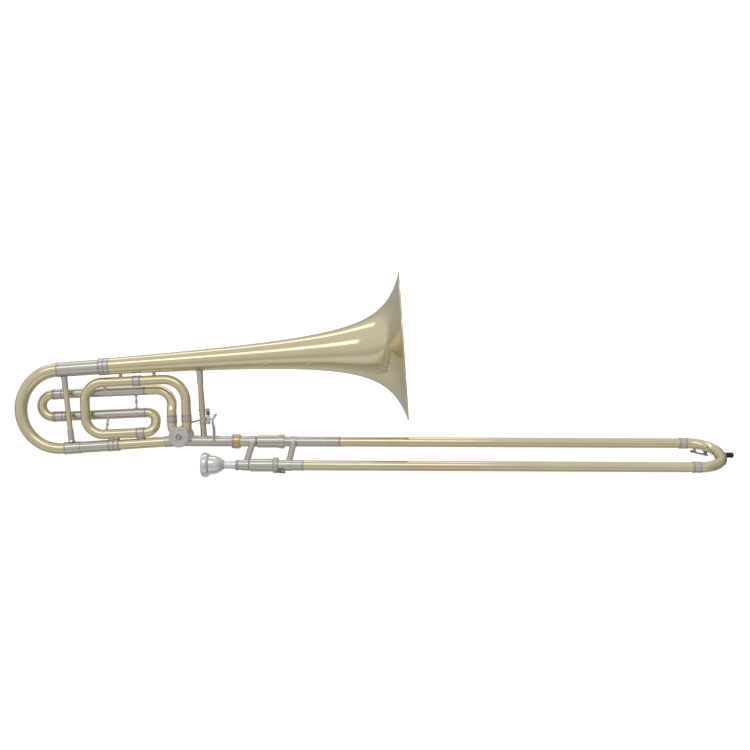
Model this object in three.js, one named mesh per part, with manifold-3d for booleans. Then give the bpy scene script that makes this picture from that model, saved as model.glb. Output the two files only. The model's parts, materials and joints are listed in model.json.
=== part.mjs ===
// A tenor-bass trombone with an F attachment: bell section, rotary valve and hand slide.
// Millimetres, +Z up. The origin is on the bell-side slide tube's axis, in the middle of the bell
// lock nut. +X runs down the hand slide, and the mouthpiece side lies towards -Y and a little low.

import * as THREE from "three";
import { mergeVertices } from "three/addons/utils/BufferGeometryUtils.js";
import Module from "manifold-3d";

const wasm = await Module();
wasm.setup();

// ---------------------------------------------------------------- driving dimensions

const GAP = 0.3; // left between any two pieces that touch
const SIDES = 16; // facets round a main tube
const SMALL_SIDES = 10; // facets round a rod or a post
const WIDE_SIDES = 24; // facets round the valve and the bell
const BEND_STEP = 30; // degrees of bend between two sections of a bent tube

const degrees = THREE.MathUtils.degToRad;

const BELL_TILT = degrees(4); // the bell section rises away from the slide
const F_TILT = degrees(2.7); // the F attachment lies between the two
const SLIDE_ROLL = degrees(20.35); // the mouthpiece side hangs below the bell side

const SLIDE_TUBE = { outer: 7.9, bore: 7.3 };
const INNER_TUBE = { outer: 7.0, bore: 6.5, end: 715 };
const SLIDE_SPACING = 92;
const SLEEVE = { outer: 8.2, start: 45, bellEnd: 171.8, mouthEnd: 118.9 };
const NECK = { outer: 8.5, end: 32 };
const BARREL = { outer: 10.15, bore: 8.6, shoulder: 36, ringStart: 71, ringOuter: 11.5, end: 79.7 };
const SLIDE_FERRULE = { start: 725.5, end: 738, outer: 8.8 };
const BOW_BULGE = 8.2; // outer radius of the slide bow's tube
const BOW_BEND = 40; // its two corners; a short straight stretch lies between them
const LOCK_NUT = { outer: 11.95, bore: 9, halfLength: 7.1 };
const RECEIVER_START = -73.7;
const BRACE_RADIUS = 5.1;
const INNER_BRACE_X = 27.6;
const OUTER_BRACE_X = 95;

const VALVE = new THREE.Vector3(-91.3, 0, 7.9); // centre of the rotor
const CASING = { outer: 17, bore: 15.6, halfLength: 19 };
const ROTOR = { radius: 15.2, halfLength: 17, spindle: 4, rearEnd: 31.8 };
const PORT_BORE = 6.2;
const PORT_OFFSET = 7.2; // from the rotor's axis to the axis of each of its two passages
const MAIN_PORT_DROP = 7.1; // the main tube's axis runs this far below the rotor's axis
const F_PORT = { left: -14.6, right: 9.8 }; // the two F tubes, from the rotor's axis

const BELL = { axisHeight: 123.6, tail: -110.6, rim: 375.5, rimRadius: 120.65, wall: 0.9 };
const BELL_THROAT = 3.9; // the flare's curve would settle at this radius
const BELL_FLARE_POWER = 0.877;
const BELL_FLARE_OFFSET = 31.4;
const RIM_BEAD = 1.6;

const MAIN_BOW = { centre: -199.1, lowerEnd: -194.6, upperRadius: 11.7, lowerRadius: 8.75, wall: 0.8 };
const MAIN_LOWER = { outer: 8.45, bore: 6.8, end: -28 };
const MAIN_UPPER_LEG = { outer: 12.4, bore: 11.5, start: -176.5, ringStart: -129, end: -110.9 };
const MAIN_LOWER_LEG = { outer: 9.4, bore: 8.3, start: -167.5, ringStart: -121.7, end: -103.4 };

const F_TUBE = { outer: 8, bore: 7.1 };
const F_LEG_DEPTH = 20; // the F slide runs this far behind the bell section's plane
const F_UPPER = 78.7;
const F_LOWER = 41.3;
const F_LEG = { start: -196, end: -61 };
const F_BOW_CENTRE = -218;
const F_LOOP = { left: -158.2, top: 95.1, bottom: 8.9, corner: 30, rightCorner: 36 };
const F_PORT_FERRULE = { start: 23.7, end: 35.2, outer: 8.5 };

const TRIGGER_TURN = 32; // degrees that the trigger turns for the rotor's quarter turn
const STOP_ARM = 14; // from the rotor's axis to the link's screw
const BOW_BRACE = { lowU: -183, highU: -188.5, cup: 5.2, waist: 4.7 };
const BELL_BRACE_U = 37.3;
const BELL_BRACE_RADIUS = 5;
const BRACE_TAPER_TOP = 45; // the brace narrows from here up to its cup
const TRIGGER_U = 46.6;
const LINK_HEIGHT = 24.8;

// ---------------------------------------------------------------- finishes

const finish = (colour, roughness, metalness) =>
  new THREE.MeshStandardMaterial({ color: colour, roughness, metalness });
const brass = finish(0xc9b982, 0.22, 1);
const nickel = finish(0xb5b0a8, 0.25, 1);
const bronze = finish(0xa9824a, 0.28, 1);
const silver = finish(0xcfcfcb, 0.15, 1);
const satin = finish(0xa8a4a0, 0.5, 1);
const steel = finish(0x6f6d6a, 0.35, 1);
const rubber = finish(0x141414, 0.7, 0);
const cork = finish(0x8f6a45, 0.9, 0);

// ---------------------------------------------------------------- closed solids

/** The same surface with shared corners merged, collapsed faces dropped and faces turned outwards. */
function closed(geometry) {
  const weld = 1e-3;
  const bare = new THREE.BufferGeometry();
  bare.setAttribute("position", geometry.getAttribute("position").clone());
  bare.setIndex(geometry.index);
  const merged = mergeVertices(bare, weld);
  const corners = [];
  const at = (i) => new THREE.Vector3().fromBufferAttribute(merged.attributes.position, i);
  let volume = 0;
  for (let i = 0; i < merged.index.count; i += 3) {
    const [a, b, c] = [0, 1, 2].map((k) => merged.index.getX(i + k));
    if (a === b || b === c || c === a) continue;
    corners.push([a, b, c]);
    volume += at(a).dot(at(b).cross(at(c)));
  }
  if (volume < 0) corners.forEach((face) => face.reverse());
  return merged.setIndex(corners.flat());
}

function toManifold(geometry) {
  const whole = closed(geometry);
  return new wasm.Manifold(
    new wasm.Mesh({
      numProp: 3,
      vertProperties: whole.attributes.position.array,
      triVerts: new Uint32Array(whole.index.array),
    }),
  );
}

function fromManifold(manifold) {
  const mesh = manifold.getMesh();
  const geometry = new THREE.BufferGeometry();
  geometry.setAttribute("position", new THREE.BufferAttribute(mesh.vertProperties, 3));
  return geometry.setIndex(new THREE.BufferAttribute(mesh.triVerts, 1));
}

/** The first geometry joined with the others. */
const joined = (first, ...others) =>
  fromManifold(others.reduce((sum, g) => sum.add(toManifold(g)), toManifold(first)));

/** The first geometry with the others taken out of it. */
const cut = (first, ...others) =>
  fromManifold(others.reduce((rest, g) => rest.subtract(toManifold(g)), toManifold(first)));

/** What the two geometries share. */
const shared = (first, second) =>
  fromManifold(toManifold(first).intersect(toManifold(second)));

/** A solid turned about the X axis, from pairs of place along it and radius. */
function turned(profile, sides = SIDES) {
  const outline = profile.map(([along, radius]) => new THREE.Vector2(radius, along));
  return closed(new THREE.LatheGeometry(outline, sides).rotateZ(-Math.PI / 2));
}

/** A round tube along X. */
const ring = (start, end, outer, bore, sides = SIDES) =>
  turned([[start, bore], [start, outer], [end, outer], [end, bore], [start, bore]], sides);

/** A round bar along X. */
const bar = (start, end, radius, sides = SMALL_SIDES) =>
  turned([[start, 0], [start, radius], [end, radius], [end, 0]], sides);

const box = (x, y, z, size) =>
  new THREE.BoxGeometry(...size).translate(x, y, z);

const alongY = (geometry) => geometry.rotateZ(Math.PI / 2);
const alongZ = (geometry) => geometry.rotateY(-Math.PI / 2);

// ---------------------------------------------------------------- bent tubes

/** A run of straight legs joined by round bends, with a section only where the tube needs one. */
class Run extends THREE.Curve {
  constructor(corners, bend) {
    super();
    this.sections = [];
    const points = corners.map((corner) => new THREE.Vector3(...corner));
    const headings = points.slice(1).map((p, i) => p.clone().sub(points[i]).normalize());
    this.place(points[0], headings[0]);
    headings.slice(1).forEach((next, i) => this.turn(points[i + 1], headings[i], next, bend));
    this.place(points.at(-1), headings.at(-1));
  }

  place(point, heading) {
    const last = this.sections.at(-1);
    const nearest = 0.05;
    if (last && last.point.distanceTo(point) < nearest) return;
    this.sections.push({ point: point.clone(), heading: heading.clone() });
  }

  turn(corner, before, after, bend) {
    const angle = before.angleTo(after);
    const start = corner.clone().addScaledVector(before, -bend * Math.tan(angle / 2));
    const inward = after.clone().addScaledVector(before, -before.dot(after)).normalize();
    const centre = start.clone().addScaledVector(inward, bend);
    const steps = Math.max(1, Math.round(angle / degrees(BEND_STEP)));
    for (let k = 0; k <= steps; k++) {
      const turned = (angle * k) / steps;
      const point = centre
        .clone()
        .addScaledVector(inward, -bend * Math.cos(turned))
        .addScaledVector(before, bend * Math.sin(turned));
      const heading = before.clone().multiplyScalar(Math.cos(turned));
      this.place(point, heading.addScaledVector(inward, Math.sin(turned)));
    }
  }

  section(u) {
    return this.sections[Math.round(u * (this.sections.length - 1))];
  }

  getPointAt(u, target = new THREE.Vector3()) {
    return target.copy(this.section(u).point);
  }

  getTangentAt(u, target = new THREE.Vector3()) {
    return target.copy(this.section(u).heading);
  }
}

/** A round tube or bar along a run: corners, the radius of its bends, and its own radii. */
function pipe(corners, bend, outer, bore = 0, sides = 12) {
  const run = new Run(corners, bend);
  const section = new THREE.Shape().absarc(0, 0, outer, 0, 2 * Math.PI);
  if (bore > 0) section.holes.push(new THREE.Path().absarc(0, 0, bore, 0, 2 * Math.PI));
  const settings = {
    extrudePath: run,
    steps: run.sections.length - 1,
    curveSegments: sides / 2,
  };
  return closed(new THREE.ExtrudeGeometry(section, settings));
}

/** The corners of a U bend in the plane of X and Z that opens towards +X, or -X if side is -1. */
const uBend = (x, low, high, depthLow, depthHigh, side, reach = (high - low) / 2) => {
  const far = x - side * reach;
  return [[x, depthLow, low], [far, depthLow, low], [far, depthHigh, high], [x, depthHigh, high]];
};

// ---------------------------------------------------------------- the assembly's groups

const trombone = new THREE.Group();
const bellSection = new THREE.Group(); // its X runs along the bell's axis, from the rotor's centre
const fAttachment = new THREE.Group();
const handSlide = new THREE.Group(); // its -Y runs from the bell-side tube to the mouthpiece side
bellSection.position.copy(VALVE);
bellSection.rotation.y = -BELL_TILT;
fAttachment.position.copy(VALVE);
fAttachment.rotation.y = -F_TILT;
handSlide.rotation.x = SLIDE_ROLL;
trombone.add(bellSection, fAttachment, handSlide);

function add(group, name, material, geometry) {
  const mesh = new THREE.Mesh(closed(geometry), material);
  mesh.name = name;
  group.add(mesh);
}

/** A geometry drawn in the bell section's own axes, moved into the part's frame. */
const fromBellSection = (geometry) =>
  geometry.rotateY(-BELL_TILT).translate(...VALVE);

const fromAttachment = (geometry) =>
  geometry.rotateY(-F_TILT).translate(...VALVE);

// ---------------------------------------------------------------- bell

/** The bell's outer radius at a distance back from its rim. */
function bellRadius(back) {
  const scale = (BELL.rimRadius - BELL_THROAT) * BELL_FLARE_OFFSET ** BELL_FLARE_POWER;
  return BELL_THROAT + scale * (back + BELL_FLARE_OFFSET) ** -BELL_FLARE_POWER;
}

function makeBell() {
  const length = BELL.rim - BELL.tail;
  const rows = 14;
  const crowding = 2.6; // rows lie closer together towards the rim
  const backs = Array.from({ length: rows + 1 }, (_, i) => length * (1 - i / rows) ** crowding);
  const outside = backs.map((back) => [BELL.rim - back, bellRadius(back)]);
  const inside = outside.map(([along, radius]) => [along, radius - BELL.wall]);
  // The rim is rolled outwards over a wire: a bead in front of the flare's edge.
  const bead = [
    [BELL.rim, BELL.rimRadius - BELL.wall],
    [BELL.rim + RIM_BEAD, BELL.rimRadius - BELL.wall],
    [BELL.rim + RIM_BEAD, BELL.rimRadius + RIM_BEAD / 2],
    [BELL.rim, BELL.rimRadius + RIM_BEAD / 2],
  ];
  const profile = [...outside, ...bead.reverse(), ...inside.slice(0, -1).reverse(), outside[0]];
  return turned(profile, WIDE_SIDES).translate(0, 0, BELL.axisHeight);
}

add(bellSection, "bell", brass, makeBell());

// ---------------------------------------------------------------- main tuning slide and its legs

const mainAxis = -MAIN_PORT_DROP;
const bowRise = (BELL.axisHeight - mainAxis) / 2;

/** A nickel outer leg with the wider ferrule at its far end. */
const outerLeg = (leg, ferrule) =>
  turned([
    [leg.start, leg.bore],
    [leg.start, leg.outer + 0.5],
    [leg.start + 2.5, leg.outer],
    [leg.ringStart, leg.outer],
    [leg.ringStart, ferrule],
    [leg.end, ferrule],
    [leg.end, leg.bore],
    [leg.start, leg.bore],
  ]);

/** A moving inner leg with the ferrule that joins it to its bow. */
const innerLeg = (start, shoulder, end, ferrule, outer, bore) =>
  turned([
    [start, bore],
    [start, ferrule],
    [shoulder, ferrule],
    [shoulder, outer],
    [end, outer],
    [end, bore],
    [start, bore],
  ]);

/** The main bow: half a turn of tube that widens from the valve side to the bell side. */
function makeMainBow() {
  const { centre, lowerEnd, upperRadius, lowerRadius, wall } = MAIN_BOW;
  const [, ...corners] = uBend(centre, mainAxis, BELL.axisHeight, 0, 0, 1);
  corners.unshift([lowerEnd, 0, mainAxis]);
  const geometry = pipe(corners, bowRise, lowerRadius, lowerRadius - wall, SIDES);
  const middle = new THREE.Vector3(centre, 0, (BELL.axisHeight + mainAxis) / 2);
  const position = geometry.attributes.position;
  const corner = new THREE.Vector3();
  for (let i = 0; i < position.count; i++) {
    corner.fromBufferAttribute(position, i);
    if (corner.x > centre + GAP) continue; // the short straight stretch at the lower end
    const rise = Math.atan2(corner.z - middle.z, middle.x - corner.x); // -90 to 90 degrees
    const share = 0.5 + rise / Math.PI;
    const growth = THREE.MathUtils.lerp(1, upperRadius / lowerRadius, share);
    const onAxis = new THREE.Vector3(-Math.cos(rise), 0, Math.sin(rise)).multiplyScalar(bowRise);
    onAxis.add(middle);
    corner.sub(onAxis).multiplyScalar(growth).add(onAxis);
    position.setXYZ(i, corner.x, corner.y, corner.z);
  }
  return geometry;
}

const upperShoulder = MAIN_UPPER_LEG.start - GAP;
const lowerShoulder = MAIN_LOWER_LEG.start - GAP;
const MAIN_FERRULE = { upper: 12.1, lower: 10.1 };

add(bellSection, "main_upper_outer_leg", nickel,
  outerLeg(MAIN_UPPER_LEG, 14.1).translate(0, 0, BELL.axisHeight));
add(bellSection, "main_lower_outer_leg", nickel,
  outerLeg(MAIN_LOWER_LEG, 10).translate(0, 0, mainAxis));
add(bellSection, "main_lower_tube", brass,
  ring(MAIN_LOWER_LEG.end + GAP, MAIN_LOWER.end, MAIN_LOWER.outer, MAIN_LOWER.bore)
    .translate(0, 0, mainAxis));

add(bellSection, "main_bow", brass, makeMainBow());
add(bellSection, "main_upper_inner_leg", nickel,
  innerLeg(MAIN_BOW.centre + GAP, upperShoulder, -115, MAIN_FERRULE.upper, 11.1, 10.4)
    .translate(0, 0, BELL.axisHeight));
add(bellSection, "main_lower_inner_leg", nickel,
  innerLeg(MAIN_BOW.lowerEnd + GAP, lowerShoulder, -107, MAIN_FERRULE.lower, 7.9, 7.2)
    .translate(0, 0, mainAxis));

/** The strut of the main bow, with a cup at either end. */
function makeBowBrace() {
  const { lowU, highU, cup, waist } = BOW_BRACE;
  const low = mainAxis + MAIN_FERRULE.lower + 2 * GAP;
  const high = BELL.axisHeight - MAIN_FERRULE.upper - 2 * GAP;
  const lean = Math.atan2(highU - lowU, high - low);
  const length = (high - low) / Math.cos(lean);
  const cupLength = 20;
  const profile = [
    [0, 0], [0, cup], [cupLength, cup], [cupLength, waist],
    [length - cupLength, waist], [length - cupLength, cup], [length, cup], [length, 0],
  ];
  return alongZ(turned(profile, SMALL_SIDES)).rotateY(lean).translate(lowU, 0, low);
}
add(bellSection, "main_bow_brace", nickel, makeBowBrace());

// ---------------------------------------------------------------- rotary valve

/** A bent knuckle from an F tube down into the casing, as a bar of the given radius. */
const knuckle = (port, radius) =>
  pipe(
    [
      [port, 0, F_PORT_FERRULE.start - GAP],
      [port, 0, 13],
      [Math.sign(port) * PORT_OFFSET, 0, 5],
    ],
    10,
    radius,
  );

function makeCasing() {
  const collar = 9.2; // the main tube's collar, soldered to the casing
  const collarStart = MAIN_LOWER.end + GAP;
  const body = alongY(bar(-CASING.halfLength, CASING.halfLength, CASING.outer, WIDE_SIDES));
  const bore = alongY(bar(-CASING.halfLength - 1, CASING.halfLength + 1, CASING.bore, WIDE_SIDES));
  const left = (radius) =>
    fromBellSection(bar(collarStart, 0, radius, SIDES).translate(0, 0, mainAxis));
  const right = (radius) =>
    bar(0, RECEIVER_START - GAP - VALVE.x, radius, SIDES).translate(VALVE.x, 0, 0);
  const outside = joined(
    body.translate(...VALVE),
    left(collar),
    right(8.4),
    fromAttachment(knuckle(F_PORT.left, F_TUBE.outer)),
    fromAttachment(knuckle(F_PORT.right, F_TUBE.outer)),
  );
  return cut(
    outside,
    bore.translate(...VALVE),
    left(PORT_BORE).translate(-1, 0, 0),
    right(PORT_BORE).translate(1, 0, 0),
    fromAttachment(knuckle(F_PORT.left, PORT_BORE).translate(0, 0, 1)),
    fromAttachment(knuckle(F_PORT.right, PORT_BORE).translate(0, 0, 1)),
  );
}
add(trombone, "valve_casing", nickel, makeCasing());

/** The screwed front cap, with a raised hub. */
const capFace = -CASING.halfLength - GAP;
const capProfile = [
  [capFace, 0], [capFace, 17.3], [capFace - 2.6, 17.3], [capFace - 3.2, 16.4],
  [capFace - 3.2, 6], [capFace - 4.4, 5.4], [capFace - 4.4, 0],
];
add(trombone, "valve_cap", satin, alongY(turned(capProfile, WIDE_SIDES)).translate(...VALVE));

/** The rear plate that carries the rotor's spindle. */
const plateFace = CASING.halfLength + GAP;
const PLATE_THICKNESS = 3;
add(trombone, "bearing_plate", nickel,
  alongY(ring(plateFace, plateFace + PLATE_THICKNESS, 17.2, ROTOR.spindle + 0.6, WIDE_SIDES))
    .translate(...VALVE));

/** The rotor: a drum with one passage for each pair of ports, on a spindle that runs out behind. */
function makeRotor() {
  const drum = alongY(bar(-ROTOR.halfLength, ROTOR.halfLength, ROTOR.radius, WIDE_SIDES));
  const spindle = alongY(bar(0, ROTOR.rearEnd, ROTOR.spindle));
  const passage = (side) =>
    bar(-CASING.outer, CASING.outer, PORT_BORE).translate(0, 0, side * PORT_OFFSET);
  const body = cut(joined(drum, spindle), passage(-1), passage(1));
  return body.rotateY(-BELL_TILT).translate(...VALVE);
}
add(trombone, "rotor", steel, makeRotor());

const bumperFace = plateFace + PLATE_THICKNESS + GAP;
const ARM = { rear: ROTOR.rearEnd - GAP, thickness: 3 };

/** A flat link plate in the plane of X and Z, from the origin towards an angle above +X. */
function linkPlate(angle, length, halfWidth, nearY, farY) {
  const plate = new THREE.Shape();
  plate.moveTo(0, -halfWidth);
  plate.lineTo(length, -halfWidth);
  plate.absarc(length, 0, halfWidth, -Math.PI / 2, Math.PI / 2);
  plate.lineTo(0, halfWidth);
  const settings = { depth: farY - nearY, bevelEnabled: false, curveSegments: 6 };
  const flat = new THREE.ExtrudeGeometry(plate, settings);
  return flat.rotateX(Math.PI / 2).translate(0, farY, 0).rotateY(-angle);
}

/** The stop arm: a hub on the spindle, a link arm with its stud, and a finger between the corks. */
function makeStopArm() {
  const near = ARM.rear - ARM.thickness;
  const hub = alongY(bar(near, ARM.rear, 6.6));
  const hole = alongY(bar(near - 1, ARM.rear + 1, ROTOR.spindle + GAP));
  const arm = linkPlate(degrees(135), STOP_ARM, 2.6, near, ARM.rear);
  const finger = linkPlate(degrees(-45), 10, 2, near, ARM.rear);
  const stud = alongY(bar(near, ARM.rear + 1.5, 1.4, SMALL_SIDES));
  const reach = STOP_ARM * Math.SQRT1_2;
  return cut(joined(hub, arm, finger, stud.translate(-reach, 0, reach)), hole);
}
add(bellSection, "stop_arm", nickel, makeStopArm());

/** A cork bumper beside the stop arm's finger, at an angle above +X. */
function makeBumper(angle) {
  const radius = 11.5;
  const stop = alongY(bar(bumperFace, ARM.rear, 2.2, SMALL_SIDES));
  return stop.translate(radius * Math.cos(angle), 0, radius * Math.sin(angle));
}
add(bellSection, "cork_bumper_rest", cork, makeBumper(degrees(-22)));
add(bellSection, "cork_bumper_pressed", cork, makeBumper(degrees(-158)));

// ---------------------------------------------------------------- F attachment

function makePortFerrule(port) {
  const { start, end, outer } = F_PORT_FERRULE;
  return alongZ(ring(start, end, outer, F_TUBE.bore, SMALL_SIDES)).translate(port, 0, 0);
}
add(fAttachment, "f_port_ferrule_left", nickel, makePortFerrule(F_PORT.left));
add(fAttachment, "f_port_ferrule_right", nickel, makePortFerrule(F_PORT.right));

const ferruleTop = F_PORT_FERRULE.end + GAP;
const TOP_FERRULE = { start: -76, end: -63.4, outer: 8.8 };
const BOTTOM_FERRULE = { start: -73.7, end: -60, outer: 8.7 };
const loop = F_LOOP;

add(fAttachment, "f_loop_upper_tube", brass,
  pipe(
    [
      [F_PORT.right, 0, ferruleTop],
      [F_PORT.right, 0, loop.top],
      [TOP_FERRULE.end + GAP, 0, loop.top],
    ],
    loop.rightCorner, F_TUBE.outer, F_TUBE.bore));
add(fAttachment, "f_loop_top_ferrule", nickel,
  ring(TOP_FERRULE.start, TOP_FERRULE.end, TOP_FERRULE.outer, F_TUBE.bore, 16)
    .translate(0, 0, loop.top));
add(fAttachment, "f_loop_lower_tube", brass,
  pipe(
    [
      [TOP_FERRULE.start - GAP, 0, loop.top],
      [loop.left, 0, loop.top],
      [loop.left, 0, loop.bottom],
      [BOTTOM_FERRULE.start - GAP, 0, loop.bottom],
    ],
    loop.corner, F_TUBE.outer, F_TUBE.bore));
add(fAttachment, "f_loop_bottom_ferrule", nickel,
  ring(BOTTOM_FERRULE.start, BOTTOM_FERRULE.end, BOTTOM_FERRULE.outer, F_TUBE.bore, 16)
    .translate(0, 0, loop.bottom));
add(fAttachment, "f_small_bow", brass,
  pipe(
    uBend(BOTTOM_FERRULE.end + GAP, loop.bottom, F_LOWER, 0, F_LEG_DEPTH, -1),
    (F_LOWER - loop.bottom) / 2, F_TUBE.outer, F_TUBE.bore));

/** The brass bend from the F slide's upper leg forward and down to the left port. */
add(fAttachment, "f_inner_bend", brass,
  pipe(
    [
      [F_LEG.end + GAP, F_LEG_DEPTH, F_UPPER],
      [F_PORT.left, F_LEG_DEPTH, F_UPPER],
      [F_PORT.left, 0, ferruleTop + 8.5],
      [F_PORT.left, 0, ferruleTop],
    ],
    31, F_TUBE.outer, F_TUBE.bore));

const SLIDE_LEG_BORE = 7.35;
for (const [side, height] of [["upper", F_UPPER], ["lower", F_LOWER]]) {
  add(fAttachment, `f_${side}_outer_leg`, nickel,
    ring(F_LEG.start, F_LEG.end, F_TUBE.outer, SLIDE_LEG_BORE)
      .translate(0, F_LEG_DEPTH, height));
  add(fAttachment, `f_${side}_inner_leg`, nickel,
    innerLeg(F_BOW_CENTRE + GAP, F_LEG.start - GAP, F_LEG.start + 90, 8.7, 7.0, 6.5)
      .translate(0, F_LEG_DEPTH, height));
}
add(fAttachment, "f_bow", brass,
  pipe(
    uBend(F_BOW_CENTRE, F_LOWER, F_UPPER, F_LEG_DEPTH, F_LEG_DEPTH, 1),
    (F_UPPER - F_LOWER) / 2, F_TUBE.outer, F_TUBE.bore));

/** A turned post between two parallel tubes, from one axis to the other, with collars and a bead. */
function post(from, to, radiusFrom, radiusTo, waist, bead) {
  const start = new THREE.Vector3(...from);
  const way = new THREE.Vector3(...to).sub(start);
  const low = radiusFrom + GAP;
  const high = way.length() - radiusTo - GAP;
  const middle = (low + high) / 2;
  const foot = waist * 1.8;
  const profile = [
    [low, 0], [low, foot], [low + 0.8, foot], [low + 1.2, waist],
    [middle - bead, waist], [middle, bead], [middle + bead, waist],
    [high - 1.2, waist], [high - 0.8, foot], [high, foot], [high, 0],
  ];
  const turn = new THREE.Quaternion();
  turn.setFromUnitVectors(new THREE.Vector3(1, 0, 0), way.normalize());
  return turned(profile, SMALL_SIDES).applyQuaternion(turn).translate(...from);
}

const upperPostX = -77.3;
const lowerPostX = -125;
const ballPostX = -126.8;
add(fAttachment, "f_leg_post", nickel,
  post([upperPostX, F_LEG_DEPTH, F_LOWER], [upperPostX, F_LEG_DEPTH, F_UPPER],
    F_TUBE.outer, F_TUBE.outer, 1.6, 2.7));
add(fAttachment, "f_loop_post", nickel,
  post([lowerPostX, 0, loop.bottom], [lowerPostX, F_LEG_DEPTH, F_LOWER],
    F_TUBE.outer, F_TUBE.outer, 1.6, 2.7));
add(fAttachment, "f_ball_post", nickel,
  post([ballPostX, 0, loop.top], [ballPostX, F_LEG_DEPTH, F_UPPER],
    F_TUBE.outer, F_TUBE.outer, 1.7, 2.9));

/** A short stay between the bell's tail and the top of the F loop. */
function stay(along) {
  const tiltChange = Math.sin(BELL_TILT - F_TILT);
  const low = loop.top + F_TUBE.outer - along * tiltChange + GAP;
  const high = BELL.axisHeight - bellRadius(BELL.rim - along) - GAP;
  const middle = (low + high) / 2;
  const profile = [[low, 0], [low, 3.4], [middle, 1.8], [high, 3.4], [high, 0]];
  return alongZ(turned(profile, SMALL_SIDES)).translate(along, 0, 0);
}
add(bellSection, "bell_stay_rear", brass, stay(-94.4));
add(bellSection, "bell_stay_front", brass, stay(-38.7));

// ---------------------------------------------------------------- bell brace and trigger

/** The hand brace from the slide receiver up to the bell, with its cup and its saddle. */
function makeBellBrace() {
  const top = BELL.axisHeight - bellRadius(BELL.rim - BELL_BRACE_U) - GAP;
  const cup = 23;
  const foot = -1.2;
  const strut = alongZ(turned([
    [foot, 0], [foot, BELL_BRACE_RADIUS], [BRACE_TAPER_TOP, BELL_BRACE_RADIUS],
    [top - cup, 4.2], [top - cup, 5.1], [top, 5.4], [top, 0],
  ], SIDES)).translate(BELL_BRACE_U, 0, 0);
  const saddleHalf = 22.5;
  const diamond = new THREE.Shape();
  diamond.moveTo(-saddleHalf, -1.5);
  diamond.quadraticCurveTo(0, -13, saddleHalf, -1.5);
  diamond.lineTo(saddleHalf, 1.5);
  diamond.quadraticCurveTo(0, 13, -saddleHalf, 1.5);
  diamond.closePath();
  const thick = { depth: 20, bevelEnabled: false, curveSegments: 6 };
  const block = new THREE.ExtrudeGeometry(diamond, thick);
  const saddleX = -49.8;
  const wrap = ring(saddleX - 30, saddleX + 30, 10.3, NECK.outer + GAP);
  return joined(fromBellSection(strut), shared(block.translate(saddleX, 0, 0), wrap));
}
add(trombone, "bell_brace", nickel, makeBellBrace());

const HINGE = { low: 18, lug: 2.4, pin: 1.2, hub: 2.9, hubTop: 31, springTop: 40 };
const hubLow = HINGE.low + HINGE.lug + GAP;

/** The trigger's hinge block: two collars on the brace with their lugs, and the pin between. */
function makeHingeBlock() {
  const bore = BELL_BRACE_RADIUS + GAP;
  const reach = TRIGGER_U - BELL_BRACE_U;
  const pinTop = HINGE.springTop + GAP + HINGE.lug;
  const clamp = (low) => {
    const high = low + HINGE.lug;
    const collar = alongZ(ring(low, high, bore + 1.3, bore));
    const arm = box((bore + reach) / 2, 0, (low + high) / 2, [reach - bore, 4.4, HINGE.lug]);
    return joined(collar, arm, alongZ(bar(low, high, 3)).translate(reach, 0, 0));
  };
  const pin = alongZ(bar(HINGE.low, pinTop, HINGE.pin, 8)).translate(reach, 0, 0);
  return joined(clamp(HINGE.low), clamp(pinTop - HINGE.lug), pin).translate(BELL_BRACE_U, 0, 0);
}
add(bellSection, "trigger_hinge_block", bronze, makeHingeBlock());

/** The torsion spring round the hinge pin, above the trigger's hub. */
class Coil extends THREE.Curve {
  getPoint(t, target = new THREE.Vector3()) {
    const turns = 3;
    const radius = 2.6;
    const angle = 2 * Math.PI * turns * t;
    const low = HINGE.hubTop + 3 * GAP;
    const rise = HINGE.springTop - 3 * GAP - low;
    return target.set(radius * Math.cos(angle), radius * Math.sin(angle), low + rise * t);
  }
}
const wire = new THREE.Shape().absarc(0, 0, 0.5, 0, 2 * Math.PI);
add(bellSection, "trigger_spring", steel,
  new THREE.ExtrudeGeometry(wire, { extrudePath: new Coil(), steps: 24, curveSegments: 2 })
    .translate(TRIGGER_U, 0, 0));

// The trigger's link arm starts half its turn short of square to the slide and ends as far past.
const halfTurn = degrees(TRIGGER_TURN / 2);
const linkReach = (STOP_ARM * Math.SQRT1_2) / Math.sin(halfTurn);
const LINK_DEPTH = linkReach * Math.cos(halfTurn);
const linkStart = TRIGGER_U - linkReach * Math.sin(halfTurn);

/** The trigger: hub, thumb paddle with its upper tab, and the arm that pulls the link rod. */
function makeTrigger() {
  const hub = alongZ(bar(hubLow, HINGE.hubTop, HINGE.hub));
  const hole = alongZ(bar(hubLow - 1, HINGE.hubTop + 1, HINGE.pin + GAP + 0.1, 8));
  const paddle = { x: 10.6, y: -15.5, halfWidth: 5.5, halfThick: 0.8 };
  const arm = pipe([[0, 0, 27], [6, -5, 25], [paddle.x, paddle.y, 21]], 4, 1.6, 0, 8);
  const blade = pipe([[paddle.x + 2.5, 0, 35], [paddle.x, 0, 22], [paddle.x - 1.4, 0, -14]], 20,
    paddle.halfThick, 0, 8);
  blade.scale(1, paddle.halfWidth / paddle.halfThick, 1).translate(0, paddle.y, 0);
  const armHeight = hubLow + 1.4;
  const stud = { x: linkStart - TRIGGER_U, y: LINK_DEPTH };
  const link = pipe([[0, 0, armHeight], [stud.x, stud.y, armHeight]], 1, 1.3, 0, 8);
  const pin = alongZ(bar(armHeight - 1.3, LINK_HEIGHT + 2.6, 1.2, 8)).translate(stud.x, stud.y, 0);
  return cut(joined(hub, arm, blade, link, pin), hole).translate(TRIGGER_U, 0, 0);
}
add(bellSection, "trigger", silver, makeTrigger());

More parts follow.
